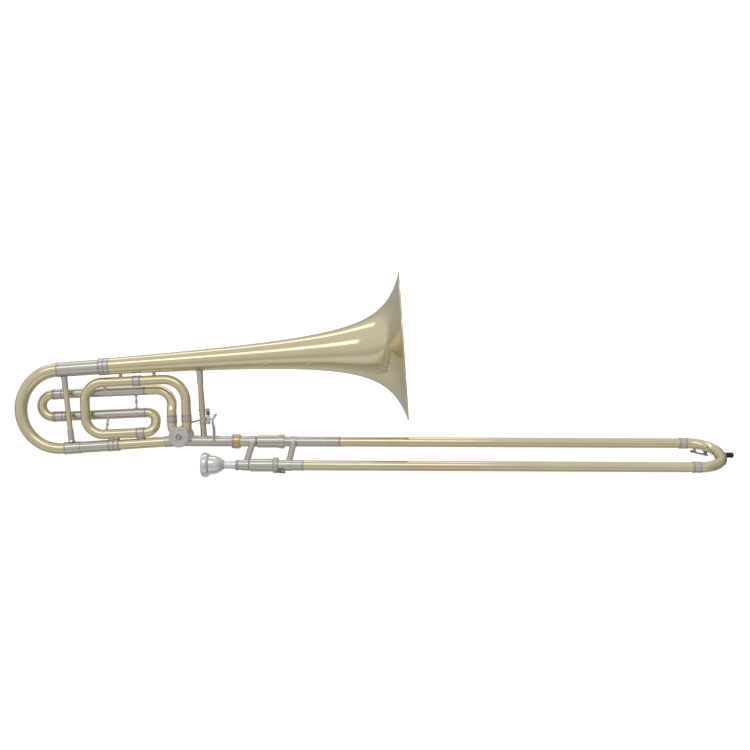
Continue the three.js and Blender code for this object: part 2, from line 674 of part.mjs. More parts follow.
/** The link rod: an eye on the trigger's stud, a cranked wire, and an eye beside the stop arm. */
function makeLinkRod() {
  const reach = STOP_ARM * Math.SQRT1_2;
  const upperEye = alongZ(ring(LINK_HEIGHT - 1, LINK_HEIGHT + 1.2, 3.2, 1.6, SMALL_SIDES));
  const lowerEye = alongY(ring(-1, 1, 3, 1.2, SMALL_SIDES));
  const rod = pipe(
    [
      [linkStart - 2.3, LINK_DEPTH, LINK_HEIGHT],
      [-2, LINK_DEPTH, LINK_HEIGHT - 6],
      [-reach + 1.2, LINK_DEPTH, reach + 1.8],
    ],
    8, 0.9, 0, 8);
  return joined(
    upperEye.translate(linkStart, LINK_DEPTH, 0),
    rod,
    lowerEye.translate(-reach, LINK_DEPTH, reach),
  );
}
add(bellSection, "link_rod", steel, makeLinkRod());

// ---------------------------------------------------------------- hand slide, fixed part

add(trombone, "slide_receiver", nickel, ring(RECEIVER_START, -GAP / 2, NECK.outer, SLIDE_TUBE.bore));
add(trombone, "bell_lock_nut", bronze,
  turned([
    [-LOCK_NUT.halfLength, LOCK_NUT.bore],
    [-LOCK_NUT.halfLength, LOCK_NUT.outer - 0.6],
    [-LOCK_NUT.halfLength + 2, LOCK_NUT.outer - 0.6],
    [-LOCK_NUT.halfLength + 2.6, LOCK_NUT.outer],
    [LOCK_NUT.halfLength - 0.6, LOCK_NUT.outer],
    [LOCK_NUT.halfLength, LOCK_NUT.outer - 0.6],
    [LOCK_NUT.halfLength, LOCK_NUT.bore],
    [-LOCK_NUT.halfLength, LOCK_NUT.bore],
  ]));

const toMouthSide = (geometry) => geometry.translate(0, -SLIDE_SPACING, 0);

/** The bell-side inner tube: it starts inside the receiver, and its neck fills the nut. */
const bellInnerTube = turned([
  [-40, INNER_TUBE.bore],
  [-40, INNER_TUBE.outer],
  [GAP / 2, INNER_TUBE.outer],
  [GAP / 2, NECK.outer],
  [NECK.end, NECK.outer],
  [NECK.end, INNER_TUBE.outer],
  [INNER_TUBE.end, INNER_TUBE.outer],
  [INNER_TUBE.end, INNER_TUBE.bore],
  [-40, INNER_TUBE.bore],
]);
add(handSlide, "inner_tube_bell_side", nickel, bellInnerTube);

const MOUTH_RECEIVER = { start: 12.9, end: 32, outer: 8, bore: 7 };
const innerTubeStart = MOUTH_RECEIVER.end + 6;
add(handSlide, "inner_tube_mouthpiece_side", nickel,
  toMouthSide(ring(innerTubeStart, INNER_TUBE.end, INNER_TUBE.outer, INNER_TUBE.bore)));
add(handSlide, "mouthpiece_receiver", nickel,
  toMouthSide(ring(MOUTH_RECEIVER.start, MOUTH_RECEIVER.end, MOUTH_RECEIVER.outer, MOUTH_RECEIVER.bore)));

/** A cork barrel: it swallows the sleeve's end when the slide is closed. */
const barrel = (neckOuter) =>
  turned([
    [NECK.end + GAP, SLIDE_TUBE.bore],
    [NECK.end + GAP, NECK.outer],
    [BARREL.shoulder, BARREL.outer],
    [BARREL.ringStart - GAP, BARREL.outer],
    [BARREL.ringStart - GAP, neckOuter],
    [BARREL.end, neckOuter],
    [BARREL.end, BARREL.bore],
    [SLEEVE.start - 4, BARREL.bore],
    [SLEEVE.start - 4, SLIDE_TUBE.bore],
    [NECK.end + GAP, SLIDE_TUBE.bore],
  ]);
const LOCK_SEAT = 9.3; // the mouthpiece-side barrel is narrow where the slide lock turns on it
add(handSlide, "cork_barrel_bell_side", nickel, barrel(BARREL.ringOuter));
add(handSlide, "cork_barrel_mouthpiece_side", nickel, toMouthSide(barrel(LOCK_SEAT)));

/** A brace between the two sides, with a collar round each tube. */
function slideBrace(x, bellTube, mouthTube, collarWidth) {
  const half = collarWidth / 2;
  const collar = (tube) => ring(x - half, x + half, tube + GAP + 1.3, tube + GAP, SIDES);
  const strut = turned([
    [bellTube + 0.8, 0], [bellTube + 0.8, 4.2], [bellTube + 6, BRACE_RADIUS],
    [SLIDE_SPACING - mouthTube - 6, BRACE_RADIUS], [SLIDE_SPACING - mouthTube - 0.8, 4.2],
    [SLIDE_SPACING - mouthTube - 0.8, 0],
  ], 16).rotateZ(-Math.PI / 2).translate(x, 0, 0);
  return joined(collar(bellTube), strut, toMouthSide(collar(mouthTube)));
}
add(handSlide, "inner_slide_brace", nickel,
  slideBrace(INNER_BRACE_X, NECK.outer, MOUTH_RECEIVER.outer, 9.4));

/** The slide lock: a ring that turns on the barrel's end, with a hook for the sleeve's stud. */
function makeSlideLock() {
  const lock = { outer: 12.4, bore: LOCK_SEAT + GAP, start: 71.1, end: 79.4 };
  const body = ring(lock.start, lock.end, lock.outer, lock.bore);
  const hookRadius = 11;
  const hookEnd = 88;
  const at = (x, angle) =>
    [x, -hookRadius * Math.cos(degrees(angle)), -hookRadius * Math.sin(degrees(angle))];
  const hook = pipe([at(76, 40), at(hookEnd, 40), at(hookEnd, 72)], 2, 1.2, 0, 8);
  return joined(body, hook);
}
add(handSlide, "slide_lock_ring", nickel, toMouthSide(makeSlideLock()));

// ---------------------------------------------------------------- hand slide, moving part

const studTurn = degrees(98); // round the tube from the side that faces away from the bell tube
const mouthSleeve = joined(
  ring(SLEEVE.start, SLEEVE.mouthEnd, SLEEVE.outer, SLIDE_TUBE.bore),
  bar(SLEEVE.outer - 0.6, 12.2, 1.4, 8).rotateZ(-Math.PI / 2).rotateX(studTurn).translate(82.5, 0, 0),
);
add(handSlide, "outer_sleeve_bell_side", nickel,
  ring(SLEEVE.start, SLEEVE.bellEnd, SLEEVE.outer, SLIDE_TUBE.bore));
add(handSlide, "outer_sleeve_mouthpiece_side", nickel, toMouthSide(mouthSleeve));
add(handSlide, "outer_tube_bell_side", brass,
  ring(SLEEVE.bellEnd + GAP, SLIDE_FERRULE.start - GAP, SLIDE_TUBE.outer, SLIDE_TUBE.bore));
add(handSlide, "outer_tube_mouthpiece_side", brass,
  toMouthSide(ring(SLEEVE.mouthEnd + GAP, SLIDE_FERRULE.start - GAP, SLIDE_TUBE.outer, SLIDE_TUBE.bore)));
add(handSlide, "outer_slide_brace", nickel,
  slideBrace(OUTER_BRACE_X, SLEEVE.outer, SLEEVE.outer, 10.6));

const slideFerrule = () =>
  ring(SLIDE_FERRULE.start, SLIDE_FERRULE.end, SLIDE_FERRULE.outer, SLIDE_TUBE.bore);
add(handSlide, "slide_ferrule_bell_side", nickel, slideFerrule());
add(handSlide, "slide_ferrule_mouthpiece_side", nickel, toMouthSide(slideFerrule()));

const halfSpacing = SLIDE_SPACING / 2;
const bowStart = SLIDE_FERRULE.end + GAP;
const bowCorners = uBend(bowStart, 0, SLIDE_SPACING, 0, 0, -1, BOW_BEND);

/** A round bar or tube along the slide bow, which lies in the plane of X and Y. */
const bowTube = (outer, bore) =>
  pipe(bowCorners, BOW_BEND, outer, bore, SIDES).rotateX(Math.PI / 2);

add(handSlide, "slide_bow", brass, bowTube(BOW_BULGE, SLIDE_TUBE.bore));

/** The bow guard: a thin shell round the outside of the bow, with a socket for the tip. */
function makeGuard() {
  const inner = BOW_BULGE + GAP;
  const thickness = 0.9;
  const half = 27;
  const front = box(bowStart + BOW_BEND, -halfSpacing, 0, [2 * BOW_BEND, 2 * half, 9.5]);
  const core = BOW_BEND + 1.5;
  const corner = (y) => alongZ(bar(-20, 20, core, WIDE_SIDES)).translate(bowStart, y, 0);
  const inside = joined(
    corner(-BOW_BEND),
    corner(BOW_BEND - SLIDE_SPACING),
    box(bowStart, -halfSpacing, 0, [2 * core, SLIDE_SPACING - 2 * BOW_BEND, 40]),
  );
  const face = BOW_BEND + inner + 0.2;
  const socket = turned([
    [face, 0], [face, 3.6], [face + 2, 3.2], [face + 2, 0],
  ], SMALL_SIDES).translate(bowStart, -halfSpacing, 0);
  const shell = shared(bowTube(inner + thickness, 0), front);
  return joined(cut(shell, bowTube(inner, 0), inside), socket);
}
add(handSlide, "bow_guard", nickel, makeGuard());

/** The rubber tip that the slide stands on. */
const tipStart = bowStart + BOW_BEND + BOW_BULGE + 2 * GAP + 2.2;
add(handSlide, "rubber_tip", rubber,
  turned([
    [tipStart, 0], [tipStart, 3.9], [tipStart + 1, 4.4], [tipStart + 3.4, 4],
    [tipStart + 9.5, 4.4], [tipStart + 11.5, 3], [tipStart + 12, 0],
  ]).translate(0, -halfSpacing, 0));

// ---------------------------------------------------------------- water key

const KEY = { nipple: 19, pivot: 45, drop: 5.6 }; // degrees round the bow; drop below its tube
const bowPoint = (angle, below) => [
  bowStart + BOW_BEND * Math.sin(degrees(angle)),
  -BOW_BEND + BOW_BEND * Math.cos(degrees(angle)),
  -BOW_BULGE - below,
];

/** The seat: the drain's nipple and the lugs of the key's hinge, on one soldered foot. */
function makeKeySeat() {
  const nippleAt = bowPoint(KEY.nipple, GAP + 0.1);
  const pivotAt = bowPoint(KEY.pivot, KEY.drop);
  const middle = (KEY.nipple + KEY.pivot) / 2;
  const lean = -degrees(middle);
  const footAt = bowPoint(middle, GAP + 0.9);
  const foot = box(0, 0, 0, [18, 4, 1.4]).rotateZ(lean).translate(...footAt);
  const nipple = alongZ(ring(-3, 0, 2.6, 1.2, SMALL_SIDES)).translate(...nippleAt);
  const hole = alongZ(bar(-4, 1, 1.2, SMALL_SIDES)).translate(...nippleAt);
  const lug = (side) =>
    box(0, side * 2.7, KEY.drop / 2 - 0.9, [3.4, 1.2, KEY.drop + 1]).rotateZ(lean).translate(...pivotAt);
  const bridge = box(0, 0, KEY.drop - 0.6 - GAP, [3.4, 6.6, 1.4]).rotateZ(lean).translate(...pivotAt);
  return cut(joined(foot, nipple, lug(1), lug(-1), bridge), hole);
}
add(handSlide, "water_key_seat", nickel, makeKeySeat());

/** The key: a lever with its cork pad under the nipple, hinged between the lugs. */
function makeWaterKey() {
  const nippleAt = new THREE.Vector3(...bowPoint(KEY.nipple, 3.4 + 2 * GAP));
  const pivotAt = new THREE.Vector3(...bowPoint(KEY.pivot, KEY.drop + 0.4));
  const reach = Math.hypot(pivotAt.x - nippleAt.x, pivotAt.y - nippleAt.y);
  const lean = Math.atan2(pivotAt.y - nippleAt.y, pivotAt.x - nippleAt.x);
  const lift = nippleAt.z - pivotAt.z;
  const lever = box(-reach / 2, 0, -0.6, [reach + 6, 3, 1.4]);
  const thumb = box(-reach - 4, 0, 0, [5, 4.6, 1.4]);
  const tail = box(3, 0, -0.6, [5, 3.4, 1.4]);
  const pad = alongZ(bar(-1, lift, 2.4)).translate(-reach, 0, 0);
  return joined(lever, thumb, tail, pad).rotateZ(lean).translate(...pivotAt);
}
add(handSlide, "water_key", steel, makeWaterKey());

// ---------------------------------------------------------------- mouthpiece

const RIM = { start: -41.5, radius: 19.5 };
const SHANK_END = 37;

/** The mouthpiece: a round rim, a bowl, its throat and a tapered shank, with its bore right through. */
function makeMouthpiece() {
  const { start, radius } = RIM;
  const outside = [
    [start + 1.2, radius - 6.4], [start, radius - 4], [start + 1.2, radius - 1.6],
    [start + 4, radius - 0.2], [start + 7, radius], [start + 10, radius - 1.1],
    [start + 12.4, radius - 4.3], [start + 20, radius - 5], [start + 27, radius - 7.4],
    [start + 32.5, radius - 10.6], [start + 36, radius - 13.6], [start + 56, 6.6], [SHANK_END, 6.4],
  ];
  const inside = [
    [SHANK_END, 5.4], [start + 51, 4.4], [start + 32, 3.6], [start + 25, 7.2],
    [start + 15, 11.4], [start + 6, 12.7], [start + 1.2, radius - 6.4],
  ];
  return turned([...outside, ...inside], 20);
}
add(handSlide, "mouthpiece", silver, toMouthSide(makeMouthpiece()));

export default trombone;
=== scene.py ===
"""A tenor trombone with an F attachment, held level over a pale studio floor.

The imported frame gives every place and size, and this script draws each piece anew around its CAD
node: round tubes, fine edges, small fittings and finishes, then the light and the camera. A section
is a set of axes along one part of the instrument, in millimetres: X along its tubes, Y across. The
studio is in metres, +Z up.
"""

import json
import math

import bmesh
import bpy
from mathutils import Matrix, Vector


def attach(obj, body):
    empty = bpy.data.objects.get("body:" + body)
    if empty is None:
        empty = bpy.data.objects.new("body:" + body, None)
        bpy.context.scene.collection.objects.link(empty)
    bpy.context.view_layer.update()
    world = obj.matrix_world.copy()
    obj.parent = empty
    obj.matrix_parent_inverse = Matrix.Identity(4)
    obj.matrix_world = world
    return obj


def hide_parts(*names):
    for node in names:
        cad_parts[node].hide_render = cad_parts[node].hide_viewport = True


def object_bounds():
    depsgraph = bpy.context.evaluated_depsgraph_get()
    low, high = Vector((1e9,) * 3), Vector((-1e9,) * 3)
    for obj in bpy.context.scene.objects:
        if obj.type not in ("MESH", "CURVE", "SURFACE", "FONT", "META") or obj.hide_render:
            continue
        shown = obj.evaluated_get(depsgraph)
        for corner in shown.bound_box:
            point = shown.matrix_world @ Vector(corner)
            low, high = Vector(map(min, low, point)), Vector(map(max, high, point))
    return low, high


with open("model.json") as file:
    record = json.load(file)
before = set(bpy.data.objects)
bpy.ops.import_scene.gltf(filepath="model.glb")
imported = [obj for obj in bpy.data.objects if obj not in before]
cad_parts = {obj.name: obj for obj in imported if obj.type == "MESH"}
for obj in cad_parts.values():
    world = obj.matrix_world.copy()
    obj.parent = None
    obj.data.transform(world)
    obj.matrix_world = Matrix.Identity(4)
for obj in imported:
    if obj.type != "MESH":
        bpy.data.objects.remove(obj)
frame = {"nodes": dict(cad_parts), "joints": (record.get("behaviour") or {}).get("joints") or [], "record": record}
cad_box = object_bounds()

MM = 0.001  # a section's unit, in metres
TINY = 0.001  # lengths under this count as nothing
SEAM = 0.35  # how far a soldered piece reaches past its CAD node, to close the gap to the next
EDGE = 0.25  # radius of a turned edge
FINE_EDGE = 0.12

# ---------------- sections of the instrument

JOINTS = {joint["name"]: joint for joint in frame["joints"]}
BODIES = frame["record"]["behaviour"]["bodies"]
BODY_OF = {node: body for body, nodes in BODIES.items() for node in nodes}
SLOT_OF = {part["node"]: part["material_slot"] for part in frame["record"]["subparts"]}

ALONG = Vector((1, 0, 0))
ACROSS = Vector((0, 1, 0))
UP = Vector((0, 0, 1))


def axes(origin, along, across):
    turn = Matrix((along, across, along.cross(across))).transposed()
    return Matrix.Translation(origin) @ turn.to_4x4()


def section(origin, along, across):
    """The axes of one part of the instrument, in millimetres."""
    return axes(origin, along, across) @ Matrix.Scale(MM, 4)


def at(place, x=0.0, y=0.0, z=0.0):
    """Axes moved along themselves."""
    return place @ Matrix.Translation((x, y, z))


def spun(place, degrees, axis):
    """Axes turned about one of themselves."""
    return place @ Matrix.Rotation(math.radians(degrees), 4, axis)


def joint_place(name):
    return Vector(JOINTS[name]["pos_m"])


VALVE_CENTRE = joint_place("rotor")
MOUTH_SIDE = joint_place("slide_lock") * Vector((0, 1, 1))
SPACING = MOUTH_SIDE.length / MM  # between the slide's two sides

WHOLE = Matrix.Scale(MM, 4)
BELL = section(VALVE_CENTRE, -Vector(JOINTS["main_tuning_slide"]["axis"]), ACROSS)
LOOP = section(VALVE_CENTRE, -Vector(JOINTS["f_tuning_slide"]["axis"]), ACROSS)
SLIDE = section(Vector(), ALONG, -MOUTH_SIDE.normalized())
MOUTH_TUBE = at(SLIDE, y=-SPACING)

# Each turns a section so that its X runs along the axis that a piece was turned about.
ABOUT_X = Matrix.Identity(4)
ABOUT_Y = Matrix((ACROSS, UP, ALONG)).transposed().to_4x4()
ABOUT_Z = Matrix((UP, ACROSS, -ALONG)).transposed().to_4x4()


def corners(node, place):
    """A CAD node's corners along a section's axes."""
    inverse = place.inverted()
    return [inverse @ vertex.co for vertex in frame["nodes"][node].data.vertices]


def span(node, place):
    """The lowest and highest corner of a CAD node along a section's axes."""
    points = corners(node, place)
    low = Vector(min(point[i] for point in points) for i in range(3))
    high = Vector(max(point[i] for point in points) for i in range(3))
    return low, high


def axis_of(node, place):
    """A section's axes moved on to the middle line of a turned node."""
    low, high = span(node, place)
    middle = (low + high) / 2
    return at(place, y=middle.y, z=middle.z)


def rings_of(node, axis):
    """The (along, radius) of each ring of corners that a turned CAD node has, in order."""
    same = 0.03
    found = []
    for point in sorted(corners(node, axis), key=lambda p: p.x):
        ring = (point.x, math.hypot(point.y, point.z))
        if all(abs(ring[0] - x) > same or abs(ring[1] - r) > same for x, r in found):
            found.append(ring)
    return found


def widest(rings):
    return max(radius for _, radius in rings)


def narrowest(rings):
    return min(radius for _, radius in rings)


def radius_of(node, place):
    """A turned node's widest radius."""
    return widest(rings_of(node, axis_of(node, place)))


def start_of(node, place):
    """Where a turned node's middle line starts."""
    axis = axis_of(node, place)
    point = (place.inverted() @ axis).translation
    point.x = rings_of(node, axis)[0][0]
    return point


def outline_of(node, axis):
    """A turned node's closed outline: its bore's ends last, and everything outside in between."""
    rings = rings_of(node, axis)
    beside, level = 0.1, 0.05
    start, end = rings[0][0], rings[-1][0]
    ends = [[ring for ring in rings if abs(ring[0] - place) < beside] for place in (start, end)]
    bore_start, bore_end = [min(group, key=lambda ring: ring[1]) for group in ends]
    bore = max(bore_start[1], bore_end[1]) + level
    outside = []
    left = [ring for ring in rings if ring[1] > bore]
    while left:
        near = [ring for ring in left if ring[0] - left[0][0] < level]
        last = outside[-1][1] if outside else bore
        nearest = min(near, key=lambda ring: abs(ring[1] - last))
        outside.append(nearest)
        left.remove(nearest)
    return [bore_start, *outside, bore_end]


# ---------------- profiles and routes


def softened(profile, radius, closed=True):
    """A profile with its corners rounded, and a point on either side to keep the flats flat."""
    slight, most, flat = math.radians(8), 0.33, 1.45
    points = [Vector(point) for point in profile]
    soft = []
    for i, corner in enumerate(points):
        if not closed and i in (0, len(points) - 1):
            soft.append(corner)
            continue
        before = points[i - 1] - corner
        after = points[(i + 1) % len(points)] - corner
        if before.length < TINY or after.length < TINY:
            continue
        if math.pi - before.angle(after) < slight:
            soft.append(corner)
            continue
        reach = min(radius, most * before.length, most * after.length)
        start = corner + before.normalized() * reach
        end = corner + after.normalized() * reach
        soft.append(corner + before.normalized() * reach * flat)
        for share in (0, 0.25, 0.5, 0.75, 1):
            soft.append(start.lerp(corner, share).lerp(corner.lerp(end, share), share))
        soft.append(corner + after.normalized() * reach * flat)
    return soft


def mirrored(half, middle):
    """The other half of a turned profile that is the same at both ends."""
    return [(2 * middle - along, radius) for along, radius in reversed(half)]


def curved(points, steps=8):
    """A smooth line through points, as many steps between each two."""
    line = []
    points = [Vector(point) for point in points]
    ends = [points[0] * 2 - points[1], *points, points[-1] * 2 - points[-2]]
    for a, b, c, d in zip(ends, ends[1:], ends[2:], ends[3:]):
        for i in range(steps):
            t = i / steps
            square = (2 * a - 5 * b + 4 * c - d) * t**2
            cube = (3 * b - a - 3 * c + d) * t**3
            line.append(0.5 * (2 * b + (c - a) * t + square + cube))
    return [*line, points[-1]]


def route(points, bend=0.0, step=math.radians(4)):
    """Places and headings along straight legs joined by round bends."""
    points = [Vector(point) for point in points]
    headings = [(b - a).normalized() for a, b in zip(points, points[1:])]
    way = [(points[0], headings[0])]
    for corner, before, after in zip(points[1:], headings, headings[1:]):
        angle = before.angle(after)
        start = corner - before * bend * math.tan(angle / 2)
        inward = (after - before * before.dot(after)).normalized()
        centre = start + inward * bend
        count = max(2, round(angle / step))
        for i in range(count + 1):
            turned = angle * i / count
            place = centre - inward * bend * math.cos(turned) + before * bend * math.sin(turned)
            heading = before * math.cos(turned) + inward * math.sin(turned)
            if (place - way[-1][0]).length > TINY:
                way.append((place, heading))
    if (points[-1] - way[-1][0]).length > TINY:
        way.append((points[-1], headings[-1]))
    return way


def headed(points):
    """Places on a smooth line with the heading at each."""
    ends = [points[0] * 2 - points[1], *points, points[-1] * 2 - points[-2]]
    return [(b, (c - a).normalized()) for a, b, c in zip(ends, ends[1:], ends[2:])]


def crisp(way):
    """A route with a point close to each end, which keeps a tube's end faces from shading its side."""
    (start, first), (end, last) = way[0], way[-1]
    return [way[0], (start + first * EDGE, first), *way[1:-1], (end - last * EDGE, last), way[-1]]


def circle(sides):
    return [2 * math.pi * i / sides for i in range(sides)]


def angles(first, last, step):
    """Angles from the first to the last, given in whole degrees."""
    return [math.radians(first + step * i) for i in range((last - first) // step + 1)]


def fan(half, count):
    """Even steps from minus a half to plus a half."""
    return [half * (2 * k / count - 1) for k in range(count + 1)]


def sides_for(radius):
    """Facets round a circle of that radius, so that its edge looks round close up."""
    return int(min(160, 20 + 4 * round(radius)))


def stepped(table, share):
    """A value read off a short table of (share, value) by straight lines."""
    for (s0, v0), (s1, v1) in zip(table, table[1:]):
        if share <= s1:
            return v0 + (v1 - v0) * (share - s0) / (s1 - s0)
    return table[-1][1]


# ---------------- meshes


class Shape:
    """A mesh in the making. Its faces take the finish that is set when they are drawn."""

    def __init__(self):
        self.mesh = bmesh.new()
        self.finish = 0

    def loop(self, place, points):
        return [self.mesh.verts.new(place @ Vector(point)) for point in points]

    def band(self, first, second):
        """Faces between two loops, where either may be a single point."""
        count = max(len(first), len(second))
        for i in range(count):
            after = i + 1
            ring = [first[i % len(first)], first[after % len(first)]]
            ring += [second[after % len(second)], second[i % len(second)]]
            self.face(list(dict.fromkeys(ring)))

    def face(self, ring):
        face = self.mesh.faces.new(ring)
        face.material_index = self.finish

    def skin(self, loops, closed=False):
        follows = loops[1:] + loops[:1] if closed else loops[1:]
        for first, second in zip(loops, follows):
            if len(first) > 1 or len(second) > 1:
                self.band(first, second)

    def capped(self, loops):
        """A skin over loops, shut by a face at either end."""
        self.skin(loops)
        self.face(loops[0][::-1])
        self.face(loops[-1])

    def strip(self, place, rows, columns):
        """Sheet bent round a line. A row has its place on the line, the headings out of and along the
        strip's arc, half that arc's angle, and the inner and outer radius."""
        loops = []
        for point, outward, aside, half, inner, outer in rows:
            spokes = [outward * math.cos(a) + aside * math.sin(a) for a in fan(half, columns)]
            crown = [point + spoke * outer for spoke in spokes]
            loops.append(self.loop(place, crown + [point + spoke * inner for spoke in spokes[::-1]]))
        self.capped(loops)

    def turn(self, axis, profile, closed=True, sides=None):
        """Turns (along, radius) pairs about the X of axis."""
        around = circle(sides or sides_for(widest(profile)))
        loops = []
        for along, radius in profile:
            if radius < TINY:
                loops.append(self.loop(axis, [(along, 0, 0)]))
            else:
                ring = [(along, radius * math.sin(a), radius * math.cos(a)) for a in around]
                loops.append(self.loop(axis, ring))
        self.skin(loops, closed)

    def turn_soft(self, axis, profile, edge=EDGE, sides=None):
        """A turned piece with rounded edges: closed round its bore, or solid if it meets its axis."""
        solid = profile[0][1] < TINY
        self.turn(axis, softened(profile, edge, closed=not solid), not solid, sides)

    def sleeve(self, axis, start, end, outer, bore=0.0, edge=EDGE, sides=None):
        """A plain turned sleeve, or a pin if it has no bore."""
        self.turn_soft(axis, [(start, bore), (start, outer), (end, outer), (end, bore)], edge, sides)

    def bead(self, axis, along, radius, width, height):
        """A half-round ring that stands on a tube."""
        half, sunk = width / 2, radius - 0.2
        steps = [math.pi * i / 8 for i in range(9)]
        arc = [(along - half * math.cos(a), radius + height * math.sin(a)) for a in steps]
        self.turn(axis, [(along - half, sunk), *arc, (along + half, sunk)])

    def tube(self, place, way, outer, bore=0.0, flat=1.0, sides=None):
        """A tube or rod along a route. outer may be a function of the share of the way gone; flat is
        the rod's thickness over its width across the section."""
        wide = outer if callable(outer) else lambda share: outer
        if bore:
            way = crisp(way)
        around = circle(sides or sides_for(max(wide(i / 10) for i in range(11))))
        turn = ALONG.rotation_difference(way[0][1])
        outside, inside = [], []
        heading = way[0][1]
        for i, (point, next_heading) in enumerate(way):
            turn = heading.rotation_difference(next_heading) @ turn
            heading = next_heading
            radius = wide(i / (len(way) - 1))
            ring = [turn @ Vector((0, math.cos(a), flat * math.sin(a))) for a in around]
            outside.append(self.loop(place, [point + spoke * radius for spoke in ring]))
            if bore:
                inner = radius - bore
                inside.append(self.loop(place, [point + spoke * inner for spoke in ring]))
        if bore:
            self.skin(outside + inside[::-1], closed=True)
            return
        tips = [self.loop(place, [way[0][0]]), self.loop(place, [way[-1][0]])]
        self.skin([tips[0], *outside, tips[1]])

    def rod(self, place, way, radius):
        """A solid rod with rounded ends."""
        start, end = way[0], way[-1]
        steps = [math.radians(a) for a in (88, 60, 30)]
        head = [(start[0] - start[1] * radius * math.sin(a), start[1]) for a in steps]
        tail = [(end[0] + end[1] * radius * math.sin(a), end[1]) for a in steps[::-1]]
        whole = [*head, *way, *tail]
        count = len(whole) - 1
        ends = {i: math.cos(a) for i, a in enumerate(steps)}
        ends.update({count - i: math.cos(a) for i, a in enumerate(steps)})
        self.tube(place, whole, lambda s: radius * ends.get(round(s * count), 1), sides=24)

    def plate(self, place, outline, thickness, bevel=0.25):
        """A flat plate with eased edges: a closed outline in X and Y, its thickness along Z."""
        outline = [Vector(point) for point in outline]
        middle = sum(outline, Vector((0, 0))) / len(outline)
        inward = []
        for a, b, c in zip(outline[-1:] + outline, outline, outline[1:] + outline[:1]):
            edge = (c - a).normalized()
            normal = Vector((-edge.y, edge.x))
            inward.append(normal if normal.dot(middle - b) > 0 else -normal)
        rows = [(1.6, 0), (1, 0), (0.3, 0.3), (0, 1)]
        eased = [(inset * bevel, height * bevel) for inset, height in rows]
        eased += [(inset, thickness - height) for inset, height in reversed(eased)]
        loops = []
        for inset, height in eased:
            moved = [point + step * inset for point, step in zip(outline, inward)]
            loops.append(self.loop(place, [(*point, height) for point in moved]))
        self.capped(loops)

    def piece(self, node, *finishes):
        """The finished mesh as a piece that stands for a CAD node and rides on its body."""
        bmesh.ops.recalc_face_normals(self.mesh, faces=self.mesh.faces)
        for face in self.mesh.faces:
            face.smooth = True
        mesh = bpy.data.meshes.new(node + "_fine")
        self.mesh.to_mesh(mesh)
        self.mesh.free()
        piece = bpy.data.objects.new(node + "_fine", mesh)
        bpy.context.scene.collection.objects.link(piece)
        for finish in finishes or [SLOT_OF[node]]:
            mesh.materials.append(FINISHES[finish])
        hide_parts(node)
        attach(piece, BODY_OF[node])


def rounded_bar(length, half_width, corner):
    """The outline of a bar from the origin along X, with rounded corners."""
    square = [(0, -half_width), (length, -half_width), (length, half_width), (0, half_width)]
    return softened(square, corner)


def lobed(length, near, far):
    """The outline of a link: a round end about the origin and another a length away along X."""
    turns = angles(-90, 90, 10)
    right = [(length + far * math.cos(a), far * math.sin(a)) for a in turns]
    left = [(-near * math.cos(a), -near * math.sin(a)) for a in turns]
    return right + left


# ---------------- finishes


def nodes_of(material):
    material.use_nodes = True
    tree = material.node_tree
    return tree, tree.nodes["Principled BSDF"]


def feed(tree, node, values):
    """Fills a node's inputs, by name or number, with plain values or links from other nodes."""
    for name, value in values.items():
        if isinstance(value, bpy.types.NodeSocket):
            tree.links.new(value, node.inputs[name])
        else:
            node.inputs[name].default_value = value


def noise(tree, scale, detail):
    """Noise laid on the piece in metres."""
    place = tree.nodes.new("ShaderNodeTexCoord")
    texture = tree.nodes.new("ShaderNodeTexNoise")
    feed(tree, texture, {"Scale": scale, "Detail": detail, "Vector": place.outputs["Object"]})
    return texture.outputs["Fac"]


def ranged(tree, value, low, high, at_low, at_high, curve="LINEAR"):
    """A number that goes from at_low to at_high while a value goes from low to high."""
    node = tree.nodes.new("ShaderNodeMapRange")
    node.interpolation_type = curve
    feed(tree, node, {"Value": value, "From Min": low, "From Max": high})
    feed(tree, node, {"To Min": at_low, "To Max": at_high})
    return node.outputs["Result"]


def between(tree, factor, low, high):
    """A number that goes from low to high with the middle part of a noise."""
    return ranged(tree, factor, 0.3, 0.7, low, high)


def mixed(tree, factor, first, second, blend="MIX"):
    """A colour that goes from the first to the second with a number from 0 to 1."""
    mix = tree.nodes.new("ShaderNodeMix")
    mix.data_type = "RGBA"
    mix.blend_type = blend
    colours = [(*colour, 1) if isinstance(colour, tuple) else colour for colour in (first, second)]
    feed(tree, mix, {"A": colours[0], "B": colours[1], "Factor": factor})
    return mix.outputs["Result"]


def surface(name, light, dark, rough, patch, grain, bump, metallic=1.0, gloss=0.5):
    """A finish whose colour drifts over patches and whose gloss and relief vary with a fine grain.
    patch and grain are noise scales, in features to the metre."""
    material = bpy.data.materials.new(name)
    tree, shader = nodes_of(material)
    drift = between(tree, noise(tree, patch, 4), 0, 1)
    fine = noise(tree, grain, 3)
    relief = tree.nodes.new("ShaderNodeBump")
    feed(tree, relief, {"Strength": bump, "Distance": 0.1 * MM, "Height": fine})
    feed(tree, shader, {"Base Color": mixed(tree, drift, light, dark)})
    feed(tree, shader, {"Roughness": between(tree, fine, *rough), "Normal": relief.outputs["Normal"]})
    feed(tree, shader, {"Metallic": metallic, "Specular IOR Level": gloss})
    return material


